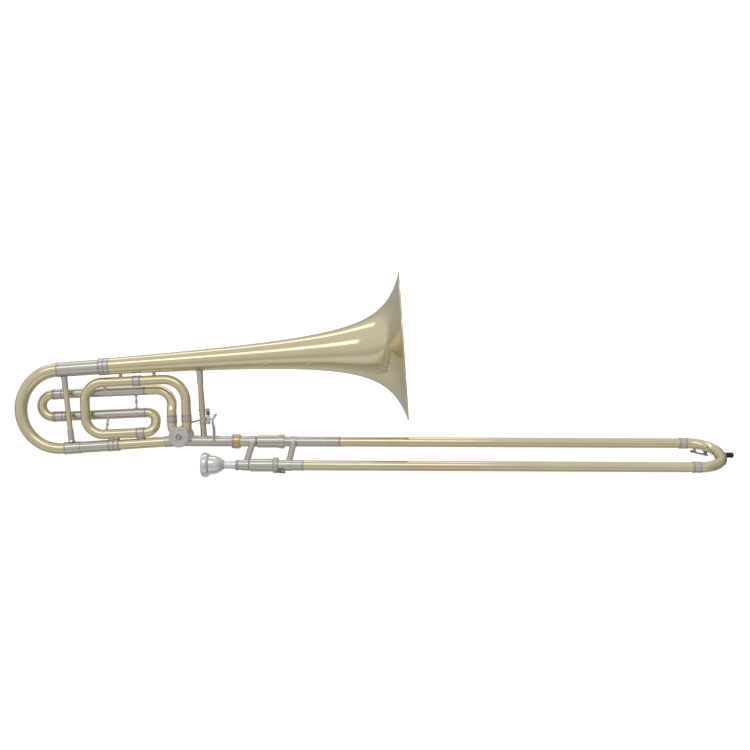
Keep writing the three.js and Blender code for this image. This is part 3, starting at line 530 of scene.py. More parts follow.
# Each finish's light and dark colour, least and most roughness, patches, grain and relief.
LOOKS = {
    "lacquered_brass": ((0.84, 0.745, 0.50), (0.79, 0.685, 0.43), (0.10, 0.17), 14, 260, 0.04),
    "nickel_silver": ((0.68, 0.65, 0.59), (0.64, 0.61, 0.55), (0.17, 0.21), 18, 420, 0.01),
    "red_brass": ((0.72, 0.56, 0.40), (0.62, 0.47, 0.33), (0.18, 0.24), 30, 420, 0.02),
    "pale_bronze": ((0.74, 0.645, 0.49), (0.67, 0.565, 0.41), (0.16, 0.22), 30, 420, 0.02),
    "gold_brass": ((0.80, 0.64, 0.36), (0.70, 0.53, 0.27), (0.16, 0.22), 30, 420, 0.02),
    "satin_nickel": ((0.72, 0.68, 0.65), (0.66, 0.62, 0.59), (0.38, 0.50), 60, 1500, 0.12),
    "silver_plate": ((0.90, 0.90, 0.88), (0.84, 0.83, 0.80), (0.07, 0.13), 30, 500, 0.03),
    "dark_steel": ((0.30, 0.28, 0.26), (0.21, 0.20, 0.19), (0.24, 0.34), 40, 900, 0.04),
    "rubber": ((0.016, 0.016, 0.017), (0.028, 0.028, 0.028), (0.50, 0.68), 120, 1800, 0.35, 0.0, 0.12),
    "cork": ((0.50, 0.33, 0.19), (0.30, 0.18, 0.10), (0.80, 0.95), 700, 2600, 0.8, 0.0),
}
FINISHES = {name: surface(name, *look) for name, look in LOOKS.items()}

# ---------------- bell

FLARE_POWER = 0.877
FLARE_OFFSET = 31.4
BELL_WALL = 0.6
BELL_AXIS = axis_of("bell", BELL)
BELL_LINE = (BELL.inverted() @ BELL_AXIS).translation.z
BELL_RINGS = rings_of("bell", BELL_AXIS)
BELL_TAIL = min(BELL_RINGS, key=lambda ring: ring[0] - ring[1])
RIM_PLACE = sorted({round(ring[0], 2) for ring in BELL_RINGS})[-2]
RIM_RADIUS = widest(BELL_RINGS) - 0.8


def bell_radius(along):
    """The bell's outer radius: wide at the rim, and falling off as a power of the way back."""
    falling = lambda back: ((back + FLARE_OFFSET) / FLARE_OFFSET) ** -FLARE_POWER
    tail = falling(RIM_PLACE - BELL_TAIL[0])
    throat = (BELL_TAIL[1] - RIM_RADIUS * tail) / (1 - tail)
    return throat + (RIM_RADIUS - throat) * falling(RIM_PLACE - along)


def make_bell():
    rows = 90
    length = RIM_PLACE - BELL_TAIL[0] + SEAM
    places = [RIM_PLACE - length * (1 - i / rows) ** 1.8 for i in range(rows + 1)]
    places.insert(1, places[0] + EDGE)
    outside = [(place, bell_radius(place)) for place in places]
    inside = [(place, radius - BELL_WALL) for place, radius in outside]
    wire = 1.25  # the rim is rolled outwards over a wire
    middle = RIM_PLACE + 0.3
    roll = [(middle + wire * math.cos(a), RIM_RADIUS + wire * math.sin(a)) for a in angles(200, -70, -15)]
    shape = Shape()
    shape.turn(BELL_AXIS, [*outside[:-1], *roll, *inside[:-1][::-1]], sides=192)
    shape.piece("bell")


# ---------------- plain turned pieces


def turned_piece(node, place, about=ABOUT_X, ends=(SEAM, SEAM), beads=(), edge=EDGE):
    """A CAD node turned again, round and with fine edges. ends says how far it reaches past the
    node at its start and end; beads are places along it, measured back from its end if negative."""
    axis = axis_of(node, place @ about)
    outline = outline_of(node, axis)
    start, end = outline[0][0], outline[-1][0]
    close = 0.05
    moved = []
    for along, radius in outline:
        if abs(along - start) < close:
            along -= ends[0]
        elif abs(along - end) < close:
            along += ends[1]
        moved.append((along, radius))
    shape = Shape()
    shape.turn_soft(axis, moved, edge)
    for bead in beads:
        along = start + bead if bead > 0 else end + bead
        add_ring(shape, axis, along, surface_radius(moved, along))
    # the second finish, dark steel, is the painted groove shade beside each bead
    shape.piece(node, SLOT_OF[node], "dark_steel")


def add_ring(shape, axis, along, radius):
    """A fine raised ring on a tube, with a low dark ring on either side of it that is painted shade, standing in
    for the shade in a groove.
    """
    width, shade_width = 1.3, 0.5
    shape.bead(axis, along, radius, width, 0.35)
    # painted shade: a low dark steel ring on each side of the bead stands in for the shade in a groove
    shape.finish = 1
    for side in (-1, 1):
        shape.bead(axis, along + side * (width + shade_width) / 2, radius, shade_width, 0.08)
    shape.finish = 0


def surface_radius(outline, along):
    """The outside radius of an outline at a place along it."""
    outside = outline[1:-1]
    for (x0, r0), (x1, r1) in zip(outside, outside[1:]):
        if x0 <= along <= x1 and x1 > x0:
            return r0 + (r1 - r0) * (along - x0) / (x1 - x0)
    return outside[-1][1]


def make_plain_turned():
    near, far = 0.9, -0.9
    both = (near, far)
    at_end, at_start = (0, SEAM), (SEAM, 0)  # which end is soldered
    for side in ("upper", "lower"):
        turned_piece(f"main_{side}_outer_leg", BELL, ends=at_end, beads=(far, -16.5, -9))
    for side in ("upper", "lower"):
        turned_piece(f"main_{side}_inner_leg", BELL, ends=at_start, beads=(near,))
    turned_piece("main_lower_tube", BELL)
    for side in ("upper", "lower"):
        turned_piece(f"f_{side}_outer_leg", LOOP, ends=at_end, beads=(near, -1.5))
        turned_piece(f"f_{side}_inner_leg", LOOP, ends=at_start, beads=(near, 4, 16))
    for side in ("top", "bottom"):
        turned_piece(f"f_loop_{side}_ferrule", LOOP, beads=both)
    for side in ("left", "right"):
        turned_piece(f"f_port_ferrule_{side}", LOOP, ABOUT_Z, beads=both)
    for side in ("bell_side", "mouthpiece_side"):
        turned_piece("inner_tube_" + side, SLIDE)
        turned_piece("outer_tube_" + side, SLIDE)
        turned_piece("slide_ferrule_" + side, SLIDE, beads=both)
    turned_piece("outer_sleeve_bell_side", SLIDE, ends=at_end, beads=(-1,))
    for side in ("bell_side", "mouthpiece_side"):
        turned_piece("cork_barrel_" + side, SLIDE, ends=at_start, edge=0.6)
    turned_piece("mouthpiece_receiver", SLIDE, ends=at_end, beads=(1, 3))
    turned_piece("slide_receiver", WHOLE, ends=at_start)
    turned_piece("bearing_plate", WHOLE, ABOUT_Y)
    turned_piece("rubber_tip", SLIDE, edge=0.8)
    for place in ("rest", "pressed"):
        turned_piece("cork_bumper_" + place, BELL, ABOUT_Y, edge=0.5)


# ---------------- bows and bent tubes

TUBE_WALL = 0.7


def bent_tube(node, place, way, outer, sides=None):
    shape = Shape()
    shape.tube(place, way, outer, TUBE_WALL, sides=sides)
    shape.piece(node)


def make_main_bow():
    """The main bow widens evenly from the valve side to the bell side."""
    high = start_of("main_upper_inner_leg", BELL)
    low = start_of("main_lower_inner_leg", BELL)
    step = 0.45  # the upper ferrule stands this far over the bow, and the lower one three times as far
    wide = radius_of("main_upper_inner_leg", BELL) - step
    narrow = radius_of("main_lower_inner_leg", BELL) - 3 * step
    bend = (high.z - low.z) / 2
    left = high.x - bend
    way = route([low, (left, 0, low.z), (left, high.y, high.z), high], bend)
    bent_tube("main_bow", BELL, way, lambda share: narrow + (wide - narrow) * share, 80)


def make_f_tubes():
    """The F attachment's tubes: bow, loop, small bow and inner bend."""
    high = start_of("f_upper_inner_leg", LOOP)
    low = start_of("f_lower_inner_leg", LOOP)
    tube = radius_of("f_upper_outer_leg", LOOP)
    bow_bend = (high.z - low.z) / 2
    loop_bend, port_bend, inner_bend = 30, 36, 31
    left = Vector((-bow_bend, 0, 0))
    bent_tube("f_bow", LOOP, route([low, low + left, high + left, high], bow_bend), tube)

    top = start_of("f_loop_top_ferrule", LOOP)
    bottom = start_of("f_loop_bottom_ferrule", LOOP)
    loop_left = span("f_loop_lower_tube", LOOP)[0].x + tube
    way = route([top, (loop_left, 0, top.z), (loop_left, 0, bottom.z), bottom], loop_bend)
    bent_tube("f_loop_lower_tube", LOOP, way, tube)

    ports = [span("f_port_ferrule_" + side, LOOP) for side in ("left", "right")]
    left_port, right_port = [(start + end) / 2 for start, end in ports]
    port_top = ports[0][1].z
    top_end = span("f_loop_top_ferrule", LOOP)[1].x
    way = route([
        (right_port.x, 0, port_top),
        (right_port.x, 0, top.z),
        (top_end, 0, top.z),
    ], port_bend)
    bent_tube("f_loop_upper_tube", LOOP, way, tube)

    leg_end = span("f_upper_outer_leg", LOOP)[1].x
    straight = 8.5  # over the ferrule, before the tube leans back to the F tuning slide's plane
    way = route([
        (leg_end, high.y, high.z),
        (left_port.x, high.y, high.z),
        (left_port.x, 0, port_top + straight),
        (left_port.x, 0, port_top),
    ], inner_bend)
    bent_tube("f_inner_bend", LOOP, way, tube)

    small_bend = (low.z - bottom.z) / 2
    bottom_end = span("f_loop_bottom_ferrule", LOOP)[1].x
    far = bottom_end + small_bend
    way = route([
        (bottom_end, 0, bottom.z),
        (far, 0, bottom.z),
        (far, low.y, low.z),
        (leg_end, low.y, low.z),
    ], small_bend)
    bent_tube("f_small_bow", LOOP, way, tube)


# ---------------- struts and posts


def make_main_bow_brace():
    """The main bow's strut: a brass tube between two nickel cups."""
    low, high = span("main_bow_brace", BELL)
    points = corners("main_bow_brace", BELL)
    third = (high.z - low.z) / 3
    mean = lambda group: sum(group, Vector()) / len(group)
    foot = mean([p for p in points if p.z < low.z + third])
    head = mean([p for p in points if p.z > high.z - third])
    way = (head - foot).normalized()
    foot = foot + way * ((low.z - foot.z) / way.z)
    length = (high.z - low.z) / way.z
    axis = BELL @ axes(foot, way, ACROSS)
    cup, cup_length = 5.1, 20
    waist, hidden, sunk = 4.4, 2, 0.6
    shape = Shape()
    shape.sleeve(axis, cup_length - hidden, length - cup_length + hidden, waist)
    shape.finish = 1
    for start, end, out in ((-sunk, cup_length, -1), (length + sunk, length - cup_length, 1)):
        flare = start - out * 3
        shape.turn_soft(axis, [(start, 0), (start, cup + 1.1), (flare, cup), (end, cup), (end, 0)])
    shape.piece("main_bow_brace", "lacquered_brass", "nickel_silver")


def make_post(node, foot, head, tube, ball):
    """A turned post from one tube to another, with a ball at its middle and a foot at each end."""
    way = head - foot
    waist, sunk = 1.55, 0.5
    low = tube - sunk
    middle = way.length / 2
    axis = LOOP @ axes(foot, way.normalized(), way.cross(ALONG).normalized())
    half = [(0, 0), (0, waist * 2.2), (1.1, waist * 2.1), (2.1, waist * 1.25), (3.4, waist)]
    half = [(low + along, radius) for along, radius in half]
    bulb = [(middle - ball * math.cos(a), ball * math.sin(a)) for a in angles(30, 150, 15)]
    shape = Shape()
    shape.turn_soft(axis, [*half, *bulb, *mirrored(half, middle)], FINE_EDGE, sides=32)
    shape.piece(node)


def make_posts():
    """The three posts of the F attachment stand where the CAD posts do."""
    tube = radius_of("f_upper_outer_leg", LOOP)
    for node, first, second, ball in (
        ("f_leg_post", "f_lower_outer_leg", "f_upper_outer_leg", 2.7),
        ("f_loop_post", "f_loop_bottom_ferrule", "f_lower_outer_leg", 2.7),
        ("f_ball_post", "f_loop_top_ferrule", "f_upper_outer_leg", 2.9),
    ):
        low, high = span(node, LOOP)
        foot, head = start_of(first, LOOP), start_of(second, LOOP)
        foot.x = head.x = (low.x + high.x) / 2
        make_post(node, foot, head, tube, ball)


def make_stays():
    """The two short waisted stays between the bell and the loop."""
    sunk = 0.6
    for node in ("bell_stay_rear", "bell_stay_front"):
        axis = axis_of(node, BELL @ ABOUT_Z)
        rings = rings_of(node, axis)
        low, high = rings[0][0] - sunk, rings[-1][0] + sunk
        half = [(low, 0), (low, 3.1), (low + 1.5, 2.9), (low + 3, 1.5)]
        shape = Shape()
        shape.turn_soft(axis, [*half, *mirrored(half, (low + high) / 2)], 0.6, sides=40)
        shape.piece(node, "red_brass")


# ---------------- rotary valve


def make_casing():
    """The valve's casing: a drum with a brass knuckle to each F tube and a collar to each main tube."""
    drum = axis_of("valve_cap", WHOLE @ ABOUT_Y)
    plate = span("bearing_plate", WHOLE)[0].y
    cap = span("valve_cap", WHOLE)[1].y
    outer, bore = 16.4, 15.6
    band, step = 4.2, 0.4  # a raised band at each end of the drum
    shape = Shape()
    shape.turn_soft(drum, [
        (cap, bore), (cap, outer), (cap + band, outer), (cap + band, outer - step),
        (plate - band, outer - step), (plate - band, outer), (plate, outer), (plate, bore)])
    main = axis_of("main_lower_tube", BELL)
    tube_end = rings_of("main_lower_tube", main)[-1][0]
    passage, collar, neck = 7, 9.2, 8.4
    shape.sleeve(main, tube_end, 0, collar, passage)
    shape.bead(main, tube_end + 1, collar, 1.2, 0.3)
    receiver = axis_of("slide_receiver", WHOLE)
    receiver_start = rings_of("slide_receiver", receiver)[0][0]
    shape.sleeve(receiver, VALVE_CENTRE.x / MM, receiver_start, neck, passage)
    shape.bead(receiver, receiver_start - 0.9, neck, 1.5, 0.35)
    shape.finish = 1
    knuckle, bend = 7.9, 12
    turn_z = 13  # where a knuckle turns from its port towards the drum
    entry_x, entry_z = 7.2, 4
    for side in ("left", "right"):
        start, end = span("f_port_ferrule_" + side, LOOP)
        port = (start.x + end.x) / 2
        entry = (math.copysign(entry_x, port), 0, entry_z)
        shape.tube(LOOP, route([(port, 0, start.z), (port, 0, turn_z), entry], bend), knuckle, TUBE_WALL)
    shape.piece("valve_casing", "nickel_silver", "lacquered_brass")


def make_valve_cap():
    """The cap: a milled edge, shallow rings in its face and a slotted hub."""
    axis = axis_of("valve_cap", WHOLE @ ABOUT_Y)
    rings = rings_of("valve_cap", axis)
    hub_face, inner_face = rings[0][0], rings[-1][0]
    outer = widest(rings)
    face = hub_face + 1.2
    sunk = face + 0.28
    shape = Shape()
    shape.turn_soft(axis, [
        (inner_face + SEAM, 0), (inner_face + SEAM, outer - 0.4), (face + 1, outer - 0.4),
        (face, outer - 1.6), (face, 0.70 * outer), (sunk, 0.67 * outer), (sunk, 0.42 * outer),
        (face, 0.39 * outer), (face, 0.30 * outer), (sunk, 0.27 * outer), (sunk, 0)], 0.3, 120)
    ridges = 72
    width = inner_face - face - 1.9
    for angle in circle(ridges):
        ridge = at(axis @ Matrix.Rotation(angle, 4, "X"), face + 1.5, 0, outer - 0.5)
        shape.rod(ridge, route([(0, 0, 0), (width, 0, 0)]), 0.42)
    hub, half_slot = 3.4, 0.6
    lid = spun(at(axis, hub_face) @ ABOUT_Z.inverted(), 20, "Z")
    for side in (-1, 1):
        start = math.asin(half_slot / hub)
        turns = [start + (math.pi - 2 * start) * i / 20 for i in range(21)]
        outline = [(hub * math.cos(a), side * hub * math.sin(a)) for a in turns]
        shape.plate(lid, outline, 1.4, 0.2)
    shape.finish = 1  # the hub's dark foot shows through its slot and as a ring round it
    shape.turn_soft(axis, [
        (hub_face + 0.7, 0), (hub_face + 0.7, hub), (face + 0.1, hub + 0.4), (face + 0.1, hub + 1.7),
        (face + 1, hub + 1.8), (face + 1, 0)], sides=48)
    shape.piece("valve_cap", "satin_nickel", "dark_steel")


def make_stop_arm():
    """The stop arm: a hub with its screw, a link arm with its stud, and a finger between the corks."""
    low, high = span("stop_arm", BELL)
    thick, arm_end = 3, 2.6
    near, far = low.y, low.y + thick
    axis = BELL @ ABOUT_Y
    shape = Shape()
    shape.sleeve(axis, near - 0.4, far, 6.4, edge=0.5)
    screw = far - TINY
    shape.turn_soft(axis, [(screw, 0), (screw, 3.2), (far + 1.1, 2.9), (far + 1.1, 0)], sides=40)
    flat = spun(at(BELL, y=far), 90, "X")
    reach = Vector((low.x, high.z)).length - arm_end * math.sqrt(2)
    shape.plate(spun(flat, 135, "Z"), lobed(reach, 4, arm_end), thick, 0.3)
    shape.plate(spun(flat, -45, "Z"), lobed(10, 3, 2), thick, 0.3)
    aside = reach * math.sqrt(0.5)
    shape.sleeve(at(BELL, -aside, 0, aside) @ ABOUT_Y, near, high.y, 1.4, edge=0.4)
    shape.piece("stop_arm")


def make_rotor():
    """The rotor's drum and spindle, inside the casing."""
    axis = BELL @ ABOUT_Y
    drum, spindle = widest(rings_of("rotor", axis)), 4
    low, high = span("rotor", BELL)
    shape = Shape()
    shape.turn_soft(axis, [
        (low.y, 0), (low.y, drum), (-low.y, drum), (-low.y, spindle), (high.y, spindle), (high.y, 0)])
    shape.piece("rotor")


# ---------------- bell brace and trigger

BRACE_PLACE = span("trigger_hinge_block", BELL)[0].x + 6.6  # the CAD collars' radius
BRACE = at(BELL, BRACE_PLACE) @ ABOUT_Z
PIN_PLACE = (BELL.inverted() @ joint_place("trigger")).x
PIN = at(BELL, PIN_PLACE) @ ABOUT_Z
LUG = 2.6
STRUT = 5


def make_bell_brace():
    """The hand brace: a pale bronze strut in a nickel cup, on a nickel saddle round the receiver."""
    foot = span("bell_brace", BELL)[0].z
    top = BELL_LINE - bell_radius(BRACE_PLACE)
    thinning = 45  # the strut narrows above this height
    cup = top - 23
    shape = Shape()
    shape.turn_soft(BRACE, [(foot, 0), (foot, STRUT), (thinning, STRUT), (cup + 2, 4.2), (cup + 2, 0)])
    shape.finish = 1
    shape.turn_soft(BRACE, [(cup, 0), (cup, 5.1), (top - 3, 5.3), (top + 0.4, 6.6), (top + 0.4, 0)])
    tube = radius_of("slide_receiver", WHOLE)
    shape.turn_soft(BRACE, [
        (foot + 1, 0), (foot + 1, STRUT + 2.2), (foot + 3, STRUT + 1.2), (foot + 4.4, STRUT + 0.2),
        (foot + 4.4, 0)])
    add_saddle(shape, axis_of("slide_receiver", WHOLE), tube, tube + 0.9)
    shape.piece("bell_brace", "pale_bronze", "nickel_silver")


def add_saddle(shape, axis, inner, outer):
    """A diamond of sheet nickel bent round the receiver's upper side."""
    middle, half = -49.8, 22.5
    widest_half, tip_half = 7.3, 1.2
    least = 0.35  # how much of its height the edge keeps at the tips
    steps = 40
    rows = []
    for i in range(steps + 1):
        share = i / steps
        along = middle + half * (2 * share - 1)
        bulge = 4 * share * (1 - share)
        width = math.asin((tip_half + (widest_half - tip_half) * bulge) / outer)
        top = inner + (outer - inner) * min(1.0, 6 * min(share, 1 - share) + least)
        rows.append((ALONG * along, UP, ACROSS, width, inner - 0.3, top))
    shape.strip(axis, rows, 16)


def make_hinge_block():
    """Two collars round the brace with their lugs, and the pin that the trigger turns on."""
    low, high = span("trigger_hinge_block", BELL)
    lug_start = BRACE_PLACE + 5.6
    lug = rounded_bar(PIN_PLACE - lug_start, 2.6, 0.6)
    stand, reach = 0.2, 1.2
    shape = Shape()
    for bottom in (low.z, high.z - LUG):
        top = bottom + LUG
        shape.sleeve(BRACE, bottom, top, 5.9, STRUT, 0.4)
        shape.plate(at(BELL, lug_start, 0, bottom), lug, LUG, 0.3)
        shape.sleeve(PIN, bottom - stand, top + stand, 3, edge=0.5)
    shape.sleeve(PIN, low.z - reach, high.z + reach, 1.2, edge=0.3)
    shape.piece("trigger_hinge_block")


def make_spring():
    """The torsion spring round the hinge pin."""
    low, high = span("trigger_spring", BELL)
    wire, coil = 0.7, 2.5
    turns = 4.5
    steps = 160
    rise = high.z - low.z - 2 * wire
    points = []
    for i in range(steps + 1):
        share = i / steps
        angle = 2 * math.pi * turns * share
        ring = Vector((coil * math.cos(angle), coil * math.sin(angle), low.z + wire + rise * share))
        points.append(ring + ALONG * PIN_PLACE)
    shape = Shape()
    shape.tube(BELL, headed(points), wire, sides=12)
    shape.piece("trigger_spring")


def make_trigger():
    """The thumb trigger: a hub, a curved paddle with its upper tab, and the arm that works the link."""
    low, high = span("trigger", BELL)
    hub_low = span("trigger_hinge_block", BELL)[0].z + LUG + 0.3
    hub_top = span("trigger_spring", BELL)[0].z - 0.6
    shape = Shape()
    shape.sleeve(PIN, hub_low, hub_top, 2.9, 1.5, 0.4)
    paddle = Vector((PIN_PLACE + 10.6, -15.5, 0))
    arm = [(PIN_PLACE + 1.9, -1.9, 27), (PIN_PLACE + 6, -5, 25), paddle + Vector((-0.6, 1, 22))]
    shape.rod(BELL, headed(curved(arm)), 1.5)
    blade = curved([
        (6, 0, high.z - 1), (1.8, 0, 28), (-1.4, 0, 21), (0.2, 0, 12), (0, 0, 0),
        (-1.2, 0, low.z + 0.5)], 10)
    widths = [(0, 0.4), (0.02, 0.8), (0.06, 1.05), (0.14, 1.15), (0.24, 0.8), (0.32, 0.55),
              (0.42, 0.8), (0.6, 1), (0.85, 1), (0.94, 0.8), (0.98, 0.5), (1, 0.2)]
    half_width = 5.6
    thumb = spun(at(BELL, *paddle), -14, "Z")
    shape.tube(thumb, headed(blade), lambda s: half_width * stepped(widths, s), flat=0.17, sides=40)
    stud_x = (BELL.inverted() @ joint_place("link_rod")).x
    stud_y = high.y - 1.3
    height, wire = hub_low + 1.4, 1.3
    shape.rod(BELL, route([(PIN_PLACE - 2, 2, height), (stud_x, stud_y, height)]), wire)
    stud = at(BELL, stud_x, stud_y) @ ABOUT_Z
    top = span("link_rod", BELL)[1].z + 1.2
    head = top - 0.1
    shape.sleeve(stud, height - wire, top, 1.2, edge=0.3)
    shape.turn_soft(stud, [(head, 0), (head, 2.2), (top + 1, 2), (top + 1, 0)], 0.3)
    shape.piece("trigger")


def make_link_rod():
    """The link rod: an eye on the trigger's stud, a cranked wire, and an eye beside the stop arm."""
    low, high = span("link_rod", BELL)
    stud_x = (BELL.inverted() @ joint_place("link_rod")).x
    depth = (low.y + high.y) / 2
    eye_low, eye_high = high.z - 2.2, high.z
    lower_eye = 3
    reach = -low.x - lower_eye
    shape = Shape()
    shape.sleeve(at(BELL, stud_x, depth) @ ABOUT_Z, eye_low, eye_high, 3.2, 1.4, 0.5)
    shape.sleeve(at(BELL, -reach, depth, reach) @ ABOUT_Y, -1, 1, lower_eye, 1.4, 0.5)
    height = (eye_low + eye_high) / 2
    way = route([
        (stud_x - 2.6, depth, height),
        (-2, depth, height - 6),
        (-reach + 1.6, depth, reach + 2),
    ], 8)
    shape.rod(BELL, way, 1.2)
    shape.piece("link_rod")


# ---------------- lock nut and slide lock


def make_lock_nut():
    """The bell lock nut: a smooth gold brass ring with a thin nickel ring behind it."""
    axis = axis_of("bell_lock_nut", WHOLE)
    rings = rings_of("bell_lock_nut", axis)
    start, end = rings[0][0], rings[-1][0]
    outer, bore = widest(rings), narrowest(rings)
    groove = outer - 0.4
    shape = Shape()
    shape.turn_soft(axis, [
        (start + 3.2, bore), (start + 3.2, outer - 0.9), (start + 4.2, outer), (end - 2.2, outer),
        (end - 1.9, groove), (end - 0.7, groove), (end, outer - 1.2), (end, bore)], 0.3)
    shape.finish = 1
    back = outer - 0.3
    shape.turn_soft(axis, [
        (start, bore), (start, outer - 0.9), (start + 0.8, back), (start + 2.2, back),
        (start + 3, outer - 1.1), (start + 3, bore)], 0.3)
    shape.piece("bell_lock_nut", "gold_brass", "nickel_silver")


def make_slide_lock():
    """The slide lock: a milled ring between two rims, with a hook that is a loop of wire."""
    rings = rings_of("slide_lock_ring", MOUTH_TUBE)
    start = rings[0][0]
    end = start + 8.3
    middle = (start + end) / 2
    bore, outer = narrowest(rings), 12.4
    half = [(start, bore), (start, outer - 0.9), (start + 0.9, outer), (start + 2, outer),
            (start + 2.5, outer - 0.6)]
    shape = Shape()
    shape.turn_soft(MOUTH_TUBE, [*half, *mirrored(half, middle)], 0.3)
    ridges = 60
    for angle in circle(ridges):
        ridge = at(MOUTH_TUBE @ Matrix.Rotation(angle, 4, "X"), z=outer - 0.65)
        shape.rod(ridge, route([(start + 3, 0, 0), (end - 3, 0, 0)]), 0.4)
    # How far the wire is past the ring, and how many degrees round the tube.
    loop = [(-3, 34), (3.6, 50), (8.2, 66), (10, 62), (11, 46), (9.4, 28), (5.4, 20), (0.6, 26), (-3, 30)]
    out = 11.6
    points = []
    for past, turn in loop:
        angle = math.radians(turn)
        points.append((end + past, -out * math.cos(angle), -out * math.sin(angle)))
    shape.finish = 1
    shape.rod(MOUTH_TUBE, headed(curved(points)), 1.1)
    shape.piece("slide_lock_ring", "nickel_silver", "dark_steel")


def make_mouth_sleeve():
    """The mouthpiece-side sleeve, with the stud that the slide lock's hook catches."""
    node = "outer_sleeve_mouthpiece_side"
    low, high = span(node, MOUTH_TUBE)
    under_stud = 8.4
    rings = [ring for ring in rings_of(node, MOUTH_TUBE) if ring[1] < under_stud]
    outer = widest(rings)
    shape = Shape()
    shape.sleeve(MOUTH_TUBE, low.x, high.x + SEAM, outer, narrowest(rings))
    # a raised ring with painted groove shade, in dark steel, on either side of it
    add_ring(shape, MOUTH_TUBE, high.x - 1, outer)
    stud = spun(at(spun(MOUTH_TUBE, 98, "X"), 82.5), -90, "Z")
    shape.finish = 1
    shape.turn_soft(stud, [
        (outer - 0.6, 0), (outer - 0.6, 1.3), (11.2, 1.3), (11.3, 1.7), (12.2, 1.4), (12.2, 0)],
        0.3, 32)
    shape.piece(node, "nickel_silver", "dark_steel")


# ---------------- slide braces and bow


def make_slide_brace(node, bell_tube, mouth_tube):
    """A brace between the slide's two sides: a collar round each tube and a flared strut."""
    low, high = span(node, SLIDE)
    shape = Shape()
    for axis, tube in ((SLIDE, bell_tube), (MOUTH_TUBE, mouth_tube)):
        shape.sleeve(axis, low.x, high.x, tube + 0.7, tube, 0.5)
    across = spun(at(SLIDE, (low.x + high.x) / 2), -90, "Z")
    near, far = bell_tube + 0.4, SPACING - mouth_tube - 0.4
    strut = 5.1
    half = [(near, 0), (near, strut + 1.6), (near + 2.6, strut + 0.7), (near + 6, strut)]
    shape.turn_soft(across, [*half, *mirrored(half, (near + far) / 2)], 1)
    shape.piece(node)


def make_slide_braces():
    neck = radius_of("slide_receiver", WHOLE)
    receiver = radius_of("mouthpiece_receiver", MOUTH_TUBE)
    sleeve = radius_of("outer_sleeve_bell_side", SLIDE)
    make_slide_brace("inner_slide_brace", neck, receiver)
    make_slide_brace("outer_slide_brace", sleeve, sleeve)


BOW_LOW, BOW_HIGH = span("slide_bow", SLIDE)
BOW_TUBE = BOW_HIGH.z
BOW_START = BOW_LOW.x
BOW_BEND = BOW_HIGH.x - BOW_TUBE - BOW_START


def bow_route():
    """The slide bow's middle line: two round corners with a short straight stretch between."""
    far = BOW_START + BOW_BEND
    points = [(BOW_START, 0, 0), (far, 0, 0), (far, -SPACING, 0), (BOW_START, -SPACING, 0)]
    return route(points, BOW_BEND)


def make_bow_guard():
    """The guard: a thin dark strip round the outside of the bow, with a nickel socket for the tip."""
    low, high = span("bow_guard", SLIDE)
    half = (high.y - low.y) / 2
    middle = -SPACING / 2
    wrap = math.radians(33)
    inner, outer = BOW_TUBE - 0.1, BOW_TUBE + 0.9
    least = 0.25  # how much of its width it keeps at its ends
    outside = (BOW_BEND + BOW_TUBE) / BOW_BEND
    rows = []
    for point, heading in bow_route():
        aside = abs(point.y - middle)
        if aside * outside >= half + 4 or point.x <= BOW_START:
            continue
        outward = heading.cross(UP)
        if outward.x < 0:
            outward = -outward
        narrowing = min(1.0, least + (half + 5 - aside) / 7)
        rows.append((point, outward, UP, wrap * max(least, narrowing), inner, outer))
    shape = Shape()
    shape.strip(SLIDE, rows, 14)
    shape.finish = 1
    face, end = BOW_START + BOW_BEND + outer - 0.3, high.x + SEAM
    shape.turn_soft(at(SLIDE, y=middle), [
        (face, 0), (face, 4.6), (face + 0.9, 4.4), (face + 1.1, 3.5), (end, 3.3), (end, 0)], 0.3)
    shape.piece("bow_guard", "dark_steel", "nickel_silver")


# ---------------- water key

NIPPLE_TURN = math.radians(19)  # round the bow from its start
NIPPLE_X = BOW_START + BOW_BEND * math.sin(NIPPLE_TURN)
NIPPLE_Y = BOW_BEND * (math.cos(NIPPLE_TURN) - 1)
KEY_HINGE = SLIDE.inverted() @ joint_place("water_key")
KEY_LEAN = math.degrees(math.atan2(KEY_HINGE.y - NIPPLE_Y, KEY_HINGE.x - NIPPLE_X))
KEY_REACH = math.hypot(KEY_HINGE.x - NIPPLE_X, KEY_HINGE.y - NIPPLE_Y)


def make_key_seat():
    """The drain's nipple on its foot, and the bridge and lugs that hold the key's hinge."""
    spout = at(SLIDE, NIPPLE_X, NIPPLE_Y) @ ABOUT_Z
    end, root, bore = -BOW_TUBE - 3.2, -BOW_TUBE + 0.8, 1.2
    shape = Shape()
    shape.turn_soft(spout, [
        (end, bore), (end, 2.3), (end + 1.6, 2.4), (end + 2.6, 3.4), (root, 4.2), (root, bore)],
        0.3, 40)
    hinge = spun(at(SLIDE, KEY_HINGE.x, KEY_HINGE.y), KEY_LEAN, "Z")
    shape.finish = 1
    foot, head = BOW_TUBE - 1, -KEY_HINGE.z - 0.2
    thick, half, eye = 1.2, 2.6, 1.9
    outline = [(-half, foot), (half, foot)]
    outline += [(eye * math.cos(a), head + eye * math.sin(a)) for a in angles(0, 180, 15)]
    for side in (-1, 1):
        shape.plate(spun(at(hinge, y=side * 2.7 - thick / 2), -90, "X"), outline, thick)
    bridge = 6.8
    base = at(hinge, -bridge / 2, 0, -BOW_TUBE - 1.3)
    shape.plate(base, rounded_bar(bridge, 3.6, 1), 2.4, 0.4)
    screw = at(hinge, z=KEY_HINGE.z) @ ABOUT_Y
    for start, near, end, far in ((-4.2, 1.5, -3.2, 1.6), (3.2, 1.5, 3.9, 1.3)):
        shape.turn_soft(screw, [(start, 0), (start, near), (end, far), (end, 0)], 0.3, 24)
    shape.piece("water_key_seat", "nickel_silver", "dark_steel")


